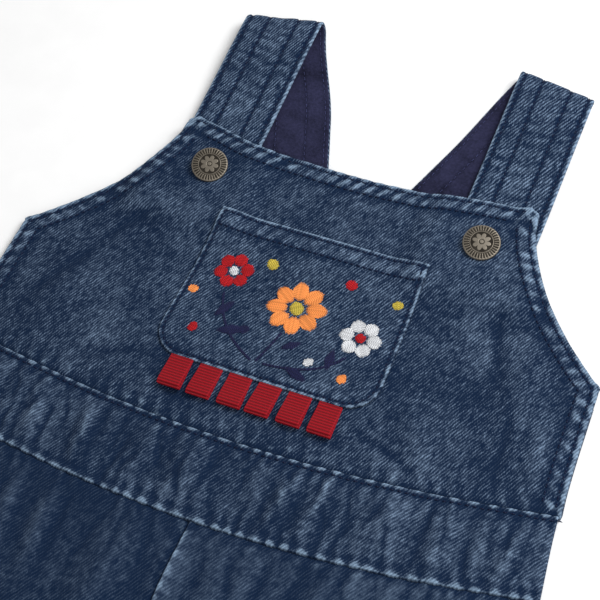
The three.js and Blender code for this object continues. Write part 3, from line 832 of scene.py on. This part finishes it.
# down and across: how many even steps, over how many mm
bibGrid = {"down": (128, 139), "across": (196, 166), "seed": 11}
bibX, bibY = bibPlan(*grid(fineSteps(*bibGrid["down"]), fineSteps(*bibGrid["across"])))
topX = np.linspace(-bib["cornerHalf"], bib["cornerHalf"], 61)
topLine = np.stack([topX, bibTopY(topX)], 1)
armLines = [np.stack(bibPlan(np.linspace(0, 1, 45), np.full(45, at)), 1) for at in (0.0, 1.0)]
bibPanel = newPanel(frontUnder, [
    ("bibTop", topLine), ("armhole", armLines[0]), ("armhole", armLines[1]),
    ("bibFoot", seamLine(upperSeam, 134, cloth["seamGap"] / 2))], bibGrid["seed"])
frontBibPiece = makePanel("frontBib", "front_bib", bibX, bibY, bibPanel, "bib")
rows = [stitchPaths(offsetLine(topLine, -d), bibPanel, trim=(d + 0.5, d + 0.5))
        for d in edgeKinds["bibTop"]["rows"]]
for d in edgeKinds["armhole"]["rows"]:
    for line, inward in zip(armLines, (d, -d)):
        rows.append(stitchPaths(offsetLine(line, inward), bibPanel, trim=(d + 1, 3)))
bibStitches = sewRows("bibTopstitch", rows)
print("bib made")

# The band's lines lie a little inside its seams
bandGrid = {
    "down": (44, 37), "across": (330, 270), "seed": 23, "top": 0.45, "foot": -0.5, "seamX": 132.0}


def bandPlan(v, t, top, foot):
    row = mix(seamY(upperSeam, bandGrid["seamX"]), seamY(lowerSeam, bandGrid["seamX"]), v)
    x = mix(-1, 1, t) * halfAt(sideRows, row)
    return x, mix(seamY(upperSeam, x) + top, seamY(lowerSeam, x) + foot, v)


bandX, bandY = bandPlan(
    *grid(fineSteps(*bandGrid["down"]), fineSteps(*bandGrid["across"])),
    bandGrid["top"], bandGrid["foot"])
bandTopLine = seamLine(upperSeam, 138, bandGrid["top"])
bandPanel = newPanel(frontUnder, [
    ("bandTop", bandTopLine), ("bandFoot", seamLine(lowerSeam, 138, bandGrid["foot"]))],
    bandGrid["seed"])
bandPiece = makePanel(
    "frontWaistband", "front_waistband", bandX, bandY, bandPanel, "waistband", crests=1.2)
bandStitches = sewRows("waistbandTopstitch", [
    stitchPaths(offsetLine(bandTopLine, -d), bandPanel) for d in edgeKinds["bandTop"]["rows"]])
print("waistband made")


def legPlan(side, v, t):
    row = mix(lowerSeam["middle"], legs["hemY"], v)
    inner = np.where(row > legs["crotchY"], cloth["seamGap"] / 2, halfAt(innerRows, row))
    x = side * mix(inner, halfAt(sideRows, row), t)
    return x, mix(seamY(lowerSeam, x) - cloth["seamGap"] / 2, legs["hemY"], v)


# closer: power that draws the rows to the waist, where the camera is; shade: painted shade over
# each leg, darker on the left leg and a little lighter on the right one
legGrid = {
    "down": (190, 429), "across": (104, 140), "closer": 1.18, "seed": {-1: 37, 1: 41},
    "shade": {-1: 0.34, 1: -0.18}, "crests": 0.6, "stitch": (3.2, 2.5)}


def makeLeg(side, word):
    down = fineSteps(*legGrid["down"]) ** legGrid["closer"]
    x, y = legPlan(side, *grid(down, fineSteps(*legGrid["across"])))
    t = np.linspace(0, 1, 60)
    top, foot, inner, outer = (np.stack(legPlan(side, v, u), 1) for v, u in (
        (0 * t, t), (0 * t + 1, t), (t, 0 * t), (t, 0 * t + 1)))
    rise = inner[inner[:, 1] > legs["crotchY"] + 4]
    inseam = inner[inner[:, 1] < legs["crotchY"] + 8]
    edges = [("legTop", top), ("legMiddle" if side > 0 else "legUnder", rise),
             ("legInner", inseam), ("legSide", outer), ("legHem", foot)]
    panel = newPanel(frontUnder, edges, legGrid["seed"][side])
    piece = makePanel("frontLeg" + word, "front_leg_" + word.lower(), x, y, panel, "leg",
                      legGrid["shade"][side], legGrid["crests"])
    lines = [offsetLine(foot, side * d) for d in edgeKinds["legHem"]["rows"]]
    lines += [offsetLine(outer, -side * d) for d in edgeKinds["legSide"]["rows"]]
    stitches = sewRows("legTopstitch" + word, [
        stitchPaths(line, panel, *legGrid["stitch"]) for line in lines])


makeLeg(-1, "Left")
makeLeg(1, "Right")
print("legs made")


def makeBack(name, replaces, x, y, seed):
    panel = newPanel(lambda a, b: 0 * a, [], seed, ripple=0.0)
    # 0.15: a little painted shade over the whole back piece
    makePanel(name, replaces, x, y, panel, "back", 0.15)


def evenGrid(down, across):
    return grid(np.linspace(0, 1, down), np.linspace(0, 1, across))


v, t = evenGrid(50, 90)
backRow = mix(backBib["cornerY"], upperSeam["middle"], v)
askew = backBib["askew"] * smooth(bib["underarmY"], backBib["cornerY"], backRow)
backX = mix(-1, 1, t) * bodyHalf(backBib, backRow) + askew
backY = mix(backBib["cornerY"], seamY(upperSeam, backX) + cloth["seamGap"] / 2, v)
makeBack("backBib", "back_bib", backX, backY, 53)
makeBack("backWaistband", "back_waistband",
         *bandPlan(*evenGrid(16, 110), -cloth["seamGap"] / 2, cloth["seamGap"] / 2), 59)
for side, word in ((-1, "Left"), (1, "Right")):
    plan = legPlan(side, *evenGrid(120, 40))
    makeBack("backLeg" + word, "back_leg_" + word.lower(), *plan, 61 + side)
print("back made")

# The shoulder fold lies at foldX, foldY and half the strap's lean; aside is how far the front and
# the back of a strap lie from the solid's middle line
strap = {
    "width": 36.0, "foldX": 66.0, "foldY": 56.5, "lean": math.radians(20), "roll": 3.2,
    "askewOver": 50.0, "frontEndY": -52.0, "drop": 3.0, "rows": (-15.5, -6.8, 6.8, 15.5),
    "pucker": 0.24, "pitch": 6.6, "lift": 0.16, "worn": 0.35, "shaded": 0.6, "rowDepth": 0.35,
    "rowShade": 2.6, "edgeWear": 1.15, "aside": {-1: (2.9, 7.5), 1: (0.8, 3.0)},
    "facingInset": 0.8, "facingThread": 0.2, "facingStitch": (2.2, 0.16, 0.4),
}
runWay = np.array([math.sin(strap["lean"]), math.cos(strap["lean"])])
outWay = np.array([runWay[1], -runWay[0]])
foldWay = np.array([math.cos(strap["lean"] / 2), -math.sin(strap["lean"] / 2)])
pastWay = np.array([-foldWay[1], foldWay[0]])
turnLength = math.pi * strap["roll"]


def alongFold(p, w):
    run = (p - w * (outWay @ pastWay)) / (runWay @ pastWay)
    return run * (runWay @ foldWay) + w * (outWay @ foldWay)


def strapPoint(side, p, w, offset):
    # p past the shoulder fold, w across the strap and offset through its thickness: flat on the
    # back, rolled half round a cylinder along the fold, then down the front and under the bib
    b = alongFold(p, w)
    angle = np.clip(p / strap["roll"], 0, math.pi)
    rolled = (strap["roll"] - offset) * np.sin(angle)
    reach = np.where(p < 0, p, rolled - np.maximum(0, p - turnLength))
    drop = strap["drop"] * smooth(0, strap["foldY"] - bib["topMiddle"], p - turnLength)
    z = cloth["strap"] / 2 + strap["roll"] - (strap["roll"] - offset) * np.cos(angle) - drop
    x = strap["foldX"] + b * foldWay[0] + reach * pastWay[0]
    y = strap["foldY"] + b * foldWay[1] + reach * pastWay[1]
    shift = mix(*strap["aside"][side], smooth(0, -strap["askewOver"], p))
    return np.stack([side * x + shift, y, z], -1)


def strapGrid(inset, across):
    steps = fineSteps(across, strap["width"], (0.2, 0.45, 0.8, 1.3))
    w = (strap["width"] / 2 - inset) * mix(-1, 1, steps)
    run = (backBib["cornerY"] + 0.3 - strap["foldY"] - w * outWay[1]) / runWay[1]
    back = run * (runWay @ pastWay) + w * (outWay @ pastWay)

    def yAt(p):
        return strap["foldY"] - (p - turnLength) * pastWay[1] + alongFold(p, w) * foldWay[1]

    end = (strap["frontEndY"] - yAt(0.0)) / (yAt(1.0) - yAt(0.0))
    down, over = np.linspace(0, 1, 95)[:, None], np.linspace(0, 1, 22)[:-1, None]
    p = np.concatenate([
        mix(back, 0 * w, down[:-1]), mix(0 * w, turnLength + 0 * w, over),
        mix(turnLength + 0 * w, end, down)])
    return p, np.broadcast_to(w, p.shape)


def strapDetail(p, w, seed):
    # puckers between the rows of stitches, each column of them with its own phase; painted shade
    # in their hollows and along the rows
    height, wear, shade = (np.zeros(np.shape(p)) for _ in range(3))
    half = strap["width"] / 2
    bounds = (-half,) + strap["rows"] + (half,)
    for k, (low, high) in enumerate(zip(bounds[:-1], bounds[1:])):
        between = smooth(low, low + 1.4, w) * smooth(high, high - 1.4, w)
        bent = 4 * softNoise(p, 0 * p + k, 15, seed + k)
        ripple = np.sin(2 * np.pi * (p + 1.8 * k * k + 0.35 * w) / strap["pitch"] + bent)
        ripple *= 0.6 + 0.6 * softNoise(p, w * 0.4, 7, seed + 9)
        height += between * (strap["lift"] + strap["pucker"] * ripple)
        wear += strap["worn"] * between * np.clip(ripple, 0, 1)
        shade += strap["shaded"] * between * np.clip(-ripple, 0, 1)
    for row in strap["rows"]:
        height -= strap["rowDepth"] * bell(w - row, 0.9)
        shade += strap["rowShade"] * bell(w - row, 0.75)
    edge = half - np.abs(w)
    uneven = 0.85 + 0.25 * softNoise(p, w, 4, seed + 30)
    wear += strap["edgeWear"] * smooth(1.5, 0.5, edge) * uneven
    height += 0.1 * softNoise(p, w, 5, seed + 31) - curlDrop(edge)
    return height, wear, shade


def strapStitches(side, first, last, length, lift, dive, face, under):
    # stitches along the strap's rows: face gives a thread's offset from its height over the cloth
    away = lift - dive * np.linspace(-1, 1, 5) ** 4
    at = np.arange(first, last, stitch["pitch"])[:, None] + np.linspace(0, 1, 5) * length
    rows = []
    for row in strap["rows"]:
        across = np.full(at.shape, row)
        path = strapPoint(side, at, across, face(at, across, away))
        rows.append((path, unit(path - strapPoint(side, at, across, under + 0 * at))))
    return joined(rows)


def makeStrap(side, word, seed):
    half = cloth["strap"] / 2
    p, w = strapGrid(0, 44)
    height, wear, shade = strapDetail(p, w, seed)
    outer, inner = strapPoint(side, p, w, -half - height), strapPoint(side, p, w, half + 0 * p)
    uv = np.stack([side * w, 300 - p], -1) / 1000
    piece = closedWall(
        "strap" + word, outer, inner, uv, {"wear": wear, "shade": shade}, denims["strap"])
    paths = strapStitches(
        side, turnLength * 0.2, 106, stitch["length"], stitch["lift"], stitch["dive"],
        lambda at, across, away: -half - strapDetail(at, across, seed)[0] - away, half)
    stitches = threadTubes("strapTopstitch" + word, *paths, stitch["radius"], topstitch)
    low = half + cloth["ply"]
    q, u = strapGrid(strap["facingInset"], 24)
    seamShade = sum(bell(u - row, 0.8) for row in strap["rows"])
    top = low + cloth["lining"] + 0.05 * softNoise(q, u, 7, seed + 50) - 0.08 * seamShade
    # painted shade: darker in the sewn rows, in patches standing for small creases, and towards
    # the bib that lies over it
    dim = 0.6 * seamShade + 0.45 * smooth(-40, -95, q)
    dim = dim + 0.9 * np.clip(softNoise(q, u * 0.5, 6, seed + 60), 0, 1)
    facing = closedWall(
        "strapLining" + word, strapPoint(side, q, u, top), strapPoint(side, q, u, low + 0 * q),
        np.stack([side * u, 300 - q], -1) / 1000, {"shade": dim}, navyCotton)
    paths = strapStitches(
        side, -104, turnLength * 0.8, *strap["facingStitch"],
        lambda at, across, away: low + cloth["lining"] + away + 0 * at, low)
    facingStitches = threadTubes(
        "strapFacingStitch" + word, *paths, strap["facingThread"], facingThread)
    declare(facingStitches)
    declare(piece, "strap_" + word.lower())
    declare(facing, "strap_lining_" + word.lower())
    declare(stitches)


# facing thread: its colour, then a darker one painted as shade in the twist's grooves
facingThread = threadMaterial("facing_thread", linear(62, 66, 104), linear(30, 32, 60))
makeStrap(-1, "Left", 71)
makeStrap(1, "Right", 83)
print("straps made")

pocket = {
    "topY": -50.0, "bottomY": -125.0, "topHalf": 48.0, "lowHalf": 50.0, "corner": 14.0,
    "seed": 97, "across": (110, 98), "ripple": 0.6, "gap": 0.1, "stitch": (2.8, 2.1)}


def pocketRows():
    # y and half width of the rows of the pocket's grid: straight sides, then round corners
    straight = pocket["topY"] - pocket["bottomY"] - pocket["corner"]
    turn = np.linspace(0, np.pi / 2, 22)[1:]
    fall = np.concatenate([[0, 0.2, 0.45, 0.8, 1.3], np.linspace(2, straight, 66)])
    fallen = np.concatenate([fall, straight + pocket["corner"] * np.sin(turn)])
    half = np.concatenate([
        mix(pocket["topHalf"], pocket["lowHalf"], np.minimum(1, fall / straight)),
        pocket["lowHalf"] - pocket["corner"] * (1 - np.cos(turn))])
    return pocket["topY"] - fallen, half


def pocketUnder(x, y):
    return frontUnder(x, y) + cloth["denim"] + cloth["ply"] + pocket["gap"]


rowY, rowHalf = pocketRows()
across = mix(-1, 1, fineSteps(*pocket["across"]))
pocketX, pocketY = np.broadcast_arrays(rowHalf[:, None] * across, rowY[:, None])
pocketRim = np.concatenate([
    np.stack([-rowHalf, rowY], 1),
    np.stack([np.linspace(-35, 35, 24), np.full(24, pocket["bottomY"])], 1),
    np.stack([rowHalf, rowY], 1)[::-1]])
pocketTopX = np.linspace(-pocket["topHalf"], pocket["topHalf"], 24)
pocketTopLine = np.stack([pocketTopX, np.full(24, pocket["topY"])], 1)
pocketPanel = newPanel(
    pocketUnder, [("pocketTop", pocketTopLine), ("pocketSide", pocketRim)], pocket["seed"],
    cloth["patch"], pocket["ripple"])
pocketPiece = makePanel("bibPocket", "bib_pocket", pocketX, pocketY, pocketPanel, "pocket")
lines = [offsetLine(pocketTopLine, -d) for d in edgeKinds["pocketTop"]["rows"]]
lines += [offsetLine(pocketRim, d) for d in edgeKinds["pocketSide"]["rows"]]
pocketStitches = sewRows("pocketTopstitch", [
    stitchPaths(line, pocketPanel, *pocket["stitch"]) for line in lines])
print("pocket made")

# Each flower: colours, place, reach and the turn of its first petal, in mm and degrees. Each dot:
# colour, place and radius. Each leaf: place, half length, half width and turn
flowers = [
    {"colours": ("orange", "mustard"), "at": (2, -87), "reach": 13.5, "petals": 8, "turn": 10},
    {"colours": ("red", "white"), "at": (-31, -78), "reach": 9.0, "petals": 6, "turn": 20},
    {"colours": ("white", "red"), "at": (33, -92), "reach": 9.5, "petals": 6, "turn": 0},
]
dots = [
    ("mustard", (-16, -70), 2.7), ("red", (20, -69), 2.6), ("orange", (-44, -92), 2.2),
    ("mustard", (42, -72), 2.3), ("navy", (-15, -104), 2.4), ("white", (17, -110), 2.2),
    ("orange", (33, -113), 2.4), ("red", (-36, -110), 2.4),
]
stems = [
    ((-4, -117), (-1, -108), (1, -100)),
    ((-6, -117), (-26, -108), (-31, -88)),
    ((-1, -117), (24, -116), (31, -102)),
]
leaves = [
    ((-20, -106), 7.0, 2.4, 200), ((-27, -97), 6.0, 2.1, 60), ((14, -117), 6.5, 2.2, -20),
    ((25, -106), 6.0, 2.1, 95), ((7, -105), 5.0, 1.8, 35)]
# each thread: its own colour, then a darker one painted as shade in the grooves of its twist
threadColours = {
    "orange": (linear(248, 160, 88), linear(205, 112, 52)),
    "red": (linear(190, 26, 34), linear(112, 10, 18)),
    "mustard": (linear(206, 186, 78), linear(148, 128, 40)),
    "white": (linear(228, 230, 232), linear(150, 152, 160)),
    "navy": (linear(30, 34, 74), linear(14, 17, 44)),
}
sewn = {"spacing": 0.46, "radius": 0.27, "lift": 0.35, "sink": 0.12, "sheen": 0.04, "rough": 0.5}


def satin(centre, long, wide, turn, seed, pointed=False):
    # parallel threads across an ellipse, or a leaf with pointed ends, uneven by a little
    way = np.array([math.cos(turn), math.sin(turn)])
    q = np.arange(-wide + 0.2, wide, sewn["spacing"])
    share = np.clip(1 - (q / wide) ** 2, 0, 1)
    uneven = np.random.default_rng(seed + len(q)).uniform(-0.35, 0.35, (2, len(q)))
    reach = long * (share if pointed else np.sqrt(share))
    middle = np.array(centre) + q[:, None] * np.array([-way[1], way[0]])
    start, end = (middle + (sign * (reach + part))[:, None] * way
                  for sign, part in zip((-1, 1), uneven))
    t = np.linspace(0, 1, 7)
    x, y = np.moveaxis(start[:, None, :] + (end - start)[:, None, :] * t[:, None], -1, 0)
    lift = sewn["lift"] * (1 - np.abs(2 * t - 1) ** 3) - sewn["sink"]
    return upright(x, y, faceOf(pocketPanel, x, y)[0] + lift)


sewing = {key: [] for key in threadColours}
for k, flower in enumerate(flowers):
    centre, reach, count = np.array(flower["at"], float), flower["reach"], flower["petals"]
    outside, heart = flower["colours"]
    for petal in range(count):
        turn = math.radians(flower["turn"] + 360 / count * petal)
        at = centre + np.array([math.cos(turn), math.sin(turn)]) * reach * 0.64
        wide = reach * math.sin(math.pi / count) * 0.66
        sewing[outside].append(satin(at, reach * 0.37, wide, turn, 10 * k + petal))
    sewing[heart].append(satin(centre, reach * 0.25, reach * 0.25, 0.6, 90 + k))
for k, (colour, at, size) in enumerate(dots):
    sewing[colour].append(satin(at, size, size, 0.9 + 0.3 * k, 120 + k))
for k, (at, long, wide, turn) in enumerate(leaves):
    sewing["navy"].append(satin(at, long, wide, math.radians(turn), 150 + k, True))
for stem in stems:
    t = np.linspace(0, 1, 30)[:, None]
    first, over, last = np.array(stem, float)
    line = (1 - t) ** 2 * first + 2 * t * (1 - t) * over + t ** 2 * last
    for aside in (-0.25, 0.25):
        sewing["navy"].append(
            stitchPaths(offsetLine(line, aside), pocketPanel, 1.5, 2.6, (0, 0), 7, 0.25))
for colour, parts in sewing.items():
    name = "embroidery_" + colour
    material = threadMaterial(name, *threadColours[colour], sewn["sheen"], sewn["rough"])
    tubes = threadTubes(name, *joined(parts), sewn["radius"], material)
    declare(tubes)
print("embroidery made")

# Sizes in mm; half is half the ribbon's thickness and curl how far its edges round over. The
# darker red is painted shade in the ribs' grooves, and the darker yarns' and spots' own tone
ribbon = {
    "count": 6, "pitch": 13.4, "width": 10.0, "length": 15.0, "height": 2.8, "rib": 1.4,
    "ribHeight": 0.09, "yarn": 0.3, "half": 0.25, "curl": 0.35, "gap": 0.3, "bump": 0.0003,
    "main": linear(156, 6, 24), "groove": linear(98, 2, 14), "edge": linear(166, 22, 36),
}


def ribbonMaterial():
    settings = {"Roughness": 0.6, "Sheen_Weight": 0.0, "Specular_IOR_Level": 0.2}
    material, tree, shader = newMaterial("red_grosgrain", **settings)
    inMm, parts = inMillimetres(tree, clothMap(tree))
    yarns, rib = (wave(tree, calc(tree, "MULTIPLY", parts[k], 2 * math.pi / ribbon[key]))
                  for k, key in enumerate(("yarn", "rib")))
    side = ranged(tree, calc(tree, "ABSOLUTE", parts[0]), 4.25, 4.6)
    # the ribs' grooves take painted shade; the yarns and spots give the ribbon's own uneven tone
    tone = scaled(tree, yarns, 0.18, ranged(tree, rib, 0.0, 0.6, 0.0, 0.85))
    spots = speckle(tree, inMm, 0.8)
    tone = scaled(tree, spots, 0.3, calc(tree, "ADD", tone, -0.15), clamp=True)
    colour = blend(tree, tone, ribbon["groove"], ribbon["main"])
    colour = blend(tree, calc(tree, "MULTIPLY", side, 0.45), colour, ribbon["edge"])
    plug(tree, shader.inputs["Base Color"], colour)
    bumped(tree, shader, scaled(tree, yarns, 0.2, rib), ribbon["bump"])
    return material


ribbonRed = ribbonMaterial()


def makeRibbon(k):
    # the loop's side view, a line out, a half turn and a line back, carried across the width
    rng = np.random.default_rng(300 + k)
    half, x0 = ribbon["half"], ribbon["pitch"] * (k - (ribbon["count"] - 1) / 2)
    bend = ribbon["height"] / 2 - half
    run = ribbon["length"] - ribbon["height"] / 2
    angle = np.linspace(-np.pi / 2, np.pi / 2, 18)
    out = np.linspace(0, run, 26)
    back = 0.8 + (2 * bend - 0.55) * smooth(0, run, out)
    turn = np.stack([run + bend * np.cos(angle), half + bend + bend * np.sin(angle)], 1)[1:-1]
    profile = np.concatenate([
        np.stack([out, np.full(26, half)], 1), turn, np.stack([out, back], 1)[::-1]])
    way = unit(np.gradient(profile, axis=0))
    size = runOf(profile)
    w = ribbon["width"] / 2 * mix(-1, 1, fineSteps(16, 10, (0.15, 0.35, 0.7)))
    top = pocket["bottomY"] - 0.3
    under = frontUnder(x0 + np.array([-5, 0, 5.0])[:, None], top - np.array([0, 7.5, 15.0]))
    base = (under + cloth["denim"]).max() + ribbon["gap"]
    skew, lift = rng.uniform(-0.06, 0.06), rng.uniform(0, 0.5)
    s, h = profile.T[:, :, None]
    rise = base + h + lift * smooth(0, run, s) * (h > 0.6)
    middle = np.stack([x0 + w + skew * s, top - s + 0 * w, rise + 0 * w], -1)
    push = np.stack([0 * size, -way[:, 1], -way[:, 0]], 1)[:, None, :]
    edge = ribbon["width"] / 2 - np.abs(w)
    thin = half - 0.35 * np.clip(ribbon["curl"] - edge, 0, ribbon["curl"])
    ribs = ribbon["ribHeight"] * np.sin(2 * np.pi * size / ribbon["rib"])[:, None]
    outer = middle + push * (thin + ribs)[..., None]
    inner = middle - push * (thin + 0 * ribs)[..., None]
    uv = np.stack(np.broadcast_arrays(w, size[:, None]), -1) / 1000
    made = closedWall("ribbonLoop" + str(k + 1), outer, inner, uv, {}, ribbonRed)
    declare(made, "ribbon_loop_" + str(k + 1))


for k in range(ribbon["count"]):
    makeRibbon(k)
print("ribbons made")

# A cap of this radius with a flat face, turned about its axis, then leant towards the camera
button = {
    "at": {-1: (-62.95, -31.85), 1: (65.0, -32.9)}, "tilt": {-1: 14.0, 1: 9.0},
    "toward": (0.536, -0.844), "size": 0.96, "height": 2.3, "radius": 8.5, "face": 7.9,
    "hole": 0.2, "hatches": 36, "hatchFrom": 5.7, "hatchTo": 8.1, "ring": 5.2, "outerRing": 8.25,
    "petals": 8, "petalRoot": 1.25, "petalFrom": 2.2, "petalReach": 2.1, "heart": 0.925,
    "lift": {"hatch": 0.13, "ring": 0.16, "petals": 0.2, "heart": 0.28}, "bump": 0.0001,
    "metal": linear(124, 117, 106), "recess": linear(48, 44, 39), "bright": linear(146, 138, 124),
}


def buttonMaterial():
    material, tree, shader = newMaterial("aged_metal", Metallic=0.85)
    spot = node(tree, "TexCoord").outputs["Object"]
    patina = speckle(tree, spot, 420.0, 4.0, 0.65)
    fine = speckle(tree, spot, 2600.0, 2.0, 0.6)
    deep = attribute(tree, "recess")
    dark = calc(tree, "ADD", deep, scaled(tree, patina, 0.8, -0.38), clamp=True)
    rubbed = calc(tree, "SUBTRACT", attribute(tree, "rub"), calc(tree, "MULTIPLY", patina, 0.4))
    rubbed = calc(tree, "MULTIPLY", ranged(tree, rubbed, 0.35, 0.8), 0.7)
    colour = blend(tree, dark, button["metal"], button["recess"])
    plug(tree, shader.inputs["Base Color"], blend(tree, rubbed, colour, button["bright"]))
    plug(tree, shader.inputs["Roughness"], ranged(tree, dark, 0.0, 1.0, 0.48, 0.8))
    bumped(tree, shader, scaled(tree, fine, 0.3, patina), button["bump"], 0.5)
    return material


agedMetal = buttonMaterial()


def buttonFace(radius, turn):
    # a hatched rim, a ring and a low flower of cosine petals: height, dark recess and bright rub
    def inside(edge, soft):  # 1 within the edge, 0 past it
        return smooth(edge + soft, edge - soft, radius)

    hatch = inside(button["hatchTo"], 0.1) * (1 - inside(button["hatchFrom"], 0.1))
    hatch = hatch * np.clip(1.5 * np.sin(button["hatches"] * turn), 0, 1)
    ring = bell(radius - button["ring"], 0.2) + 0.5 * bell(radius - button["outerRing"], 0.12)
    waves = np.abs(np.cos(button["petals"] / 2 * turn)) ** 0.6
    petals = inside(button["petalFrom"] + button["petalReach"] * waves, 0.15)
    petals = petals * (1 - inside(button["petalRoot"], 0.15))
    heart = inside(button["heart"], 0.125)
    lift = button["lift"]
    past = np.maximum(radius - button["face"], 0)
    rimFall = np.where(past > 0, 0.5 - np.sqrt(np.clip(0.25 - past ** 2 * 0.69, 0, 1)), 0)
    dome = button["height"] - 0.25 - 0.55 * (radius / button["radius"]) ** 2
    z = dome - rimFall + lift["hatch"] * hatch + lift["ring"] * ring
    z = z + lift["petals"] * petals + lift["heart"] * heart
    recess = np.clip(1 - (hatch > 0.1) * 0.8 - ring - petals - heart, 0, 1)
    recess = recess * 0.95 * (radius < button["face"])
    rub = 0.6 * ring + 0.45 * petals + 0.6 * heart + 0.5 * hatch
    rub = rub + 0.6 * (radius > button["outerRing"])
    return z, recess, np.clip(rub, 0, 1)


def makeButton(side, word):
    rim = button["radius"] - 0.6 * (1 - np.sin(np.linspace(0.35, np.pi / 2, 8)))
    angle = np.linspace(0, 2 * np.pi, 369)[:-1]
    radius, turn = grid(
        np.concatenate([np.linspace(button["hole"], button["face"], 56), rim]), angle)
    z, recess, rub = buttonFace(radius, turn)
    # below the face the wall comes down to a waist, goes in under it and back to the middle
    for size, level in ((button["radius"], 0.7), (8.1, 0.0), (button["hole"], 0.0)):
        radius = np.concatenate([radius, np.full((1, len(angle)), size)])
        z = np.concatenate([z, np.full((1, len(angle)), level)])
    shell = np.stack([radius * np.cos(angle), radius * np.sin(angle), z], -1)
    rows, columns = shell.shape[:2]
    ids = np.arange(rows * columns).reshape(rows, columns)
    after = np.roll(ids, -1, 1)
    quads = np.stack([ids[:-1], ids[1:], after[1:], after[:-1]], -1).reshape(-1, 4)
    # both ends are closed by strips of quads from one side of the ring to the other
    i = np.arange(columns // 2 - 1)
    strips = np.stack([i, i + 1, columns - 2 - i, columns - 1 - i], 1)
    quads = np.concatenate([quads, strips, strips[:, ::-1] + ids[-1, 0]])
    x0, y0 = button["at"][side]
    base = frontUnder(np.array([x0]), np.array([y0]))[0] + cloth["denim"] + cloth["ply"]
    lean = math.radians(button["tilt"][side])
    way = np.array([*button["toward"], 0.0])
    points = shell.reshape(-1, 3) * button["size"]
    ahead, level = points @ way, points[:, 2]
    height = level * math.cos(lean) - ahead * math.sin(lean) + 4 * math.sin(lean)
    points = points + way * (ahead * (math.cos(lean) - 1) + level * math.sin(lean))[:, None]
    points = np.stack([points[:, 0] + x0, points[:, 1] + y0, height + base], 1)
    pad = np.zeros((3, columns))
    values = {"recess": np.concatenate([recess, pad + 0.5]), "rub": np.concatenate([rub, pad])}
    made = toMesh("button" + word, layOut(points), quads, agedMetal, None, values)
    return declare(made, "button_" + word.lower())


buttons = [makeButton(-1, "Left"), makeButton(1, "Right")]
print("buttons made")

# Places and sizes in m. The lamps look at this spot of the floor
studio = {
    "floor": (0.9, 0.9, 0.9, 1), "spots": (0.92, 0.92, 0.92, 1), "level": -0.0006, "reach": 3,
    "sky": 0.5, "spot": (0.02, 0.16, 0.0),
    "key": {"at": (0.5, 0.6, 0.75), "size": 0.55, "power": 8},
    "fill": {"at": (0.75, -0.5, 0.9), "size": 0.9, "power": 4},
}


def makeFloor():
    t = np.linspace(-studio["reach"], studio["reach"], 13)
    x, y = np.meshgrid(t, t)
    points = np.stack([x.ravel(), -y.ravel(), np.full(x.size, studio["level"])], 1)
    material, tree, shader = newMaterial("pale_floor", Roughness=0.9, Specular_IOR_Level=0.05)
    grain = speckle(tree, node(tree, "TexCoord").outputs["Object"], 60.0, 3.0)
    colour = blend(tree, ranged(tree, grain, 0.3, 0.7), studio["floor"], studio["spots"])
    plug(tree, shader.inputs["Base Color"], colour)
    toMesh("floor", points, gridQuads(13, 13), material)


def makeLights():
    world = bpy.data.worlds.new("studio")
    world.use_nodes = True
    sky = world.node_tree.nodes["Background"].inputs
    sky[0].default_value, sky[1].default_value = (1, 1, 1, 1), studio["sky"]
    bpy.context.scene.world = world
    for name in ("key", "fill"):
        light = studio[name]
        data = bpy.data.lights.new(name, "AREA")
        data.shape, data.size, data.energy = "DISK", light["size"], light["power"]
        lamp = bpy.data.objects.new(name, data)
        bpy.context.scene.collection.objects.link(lamp)
        back = unit(np.array(light["at"]) - studio["spot"])
        right = unit(np.cross((0, 0, 1), back))
        lamp.matrix_world = aimed(right, np.cross(back, right), back, light["at"])


makeFloor()
makeLights()
bpy.context.scene.view_settings.view_transform = "Standard"
print("floor and lights set")
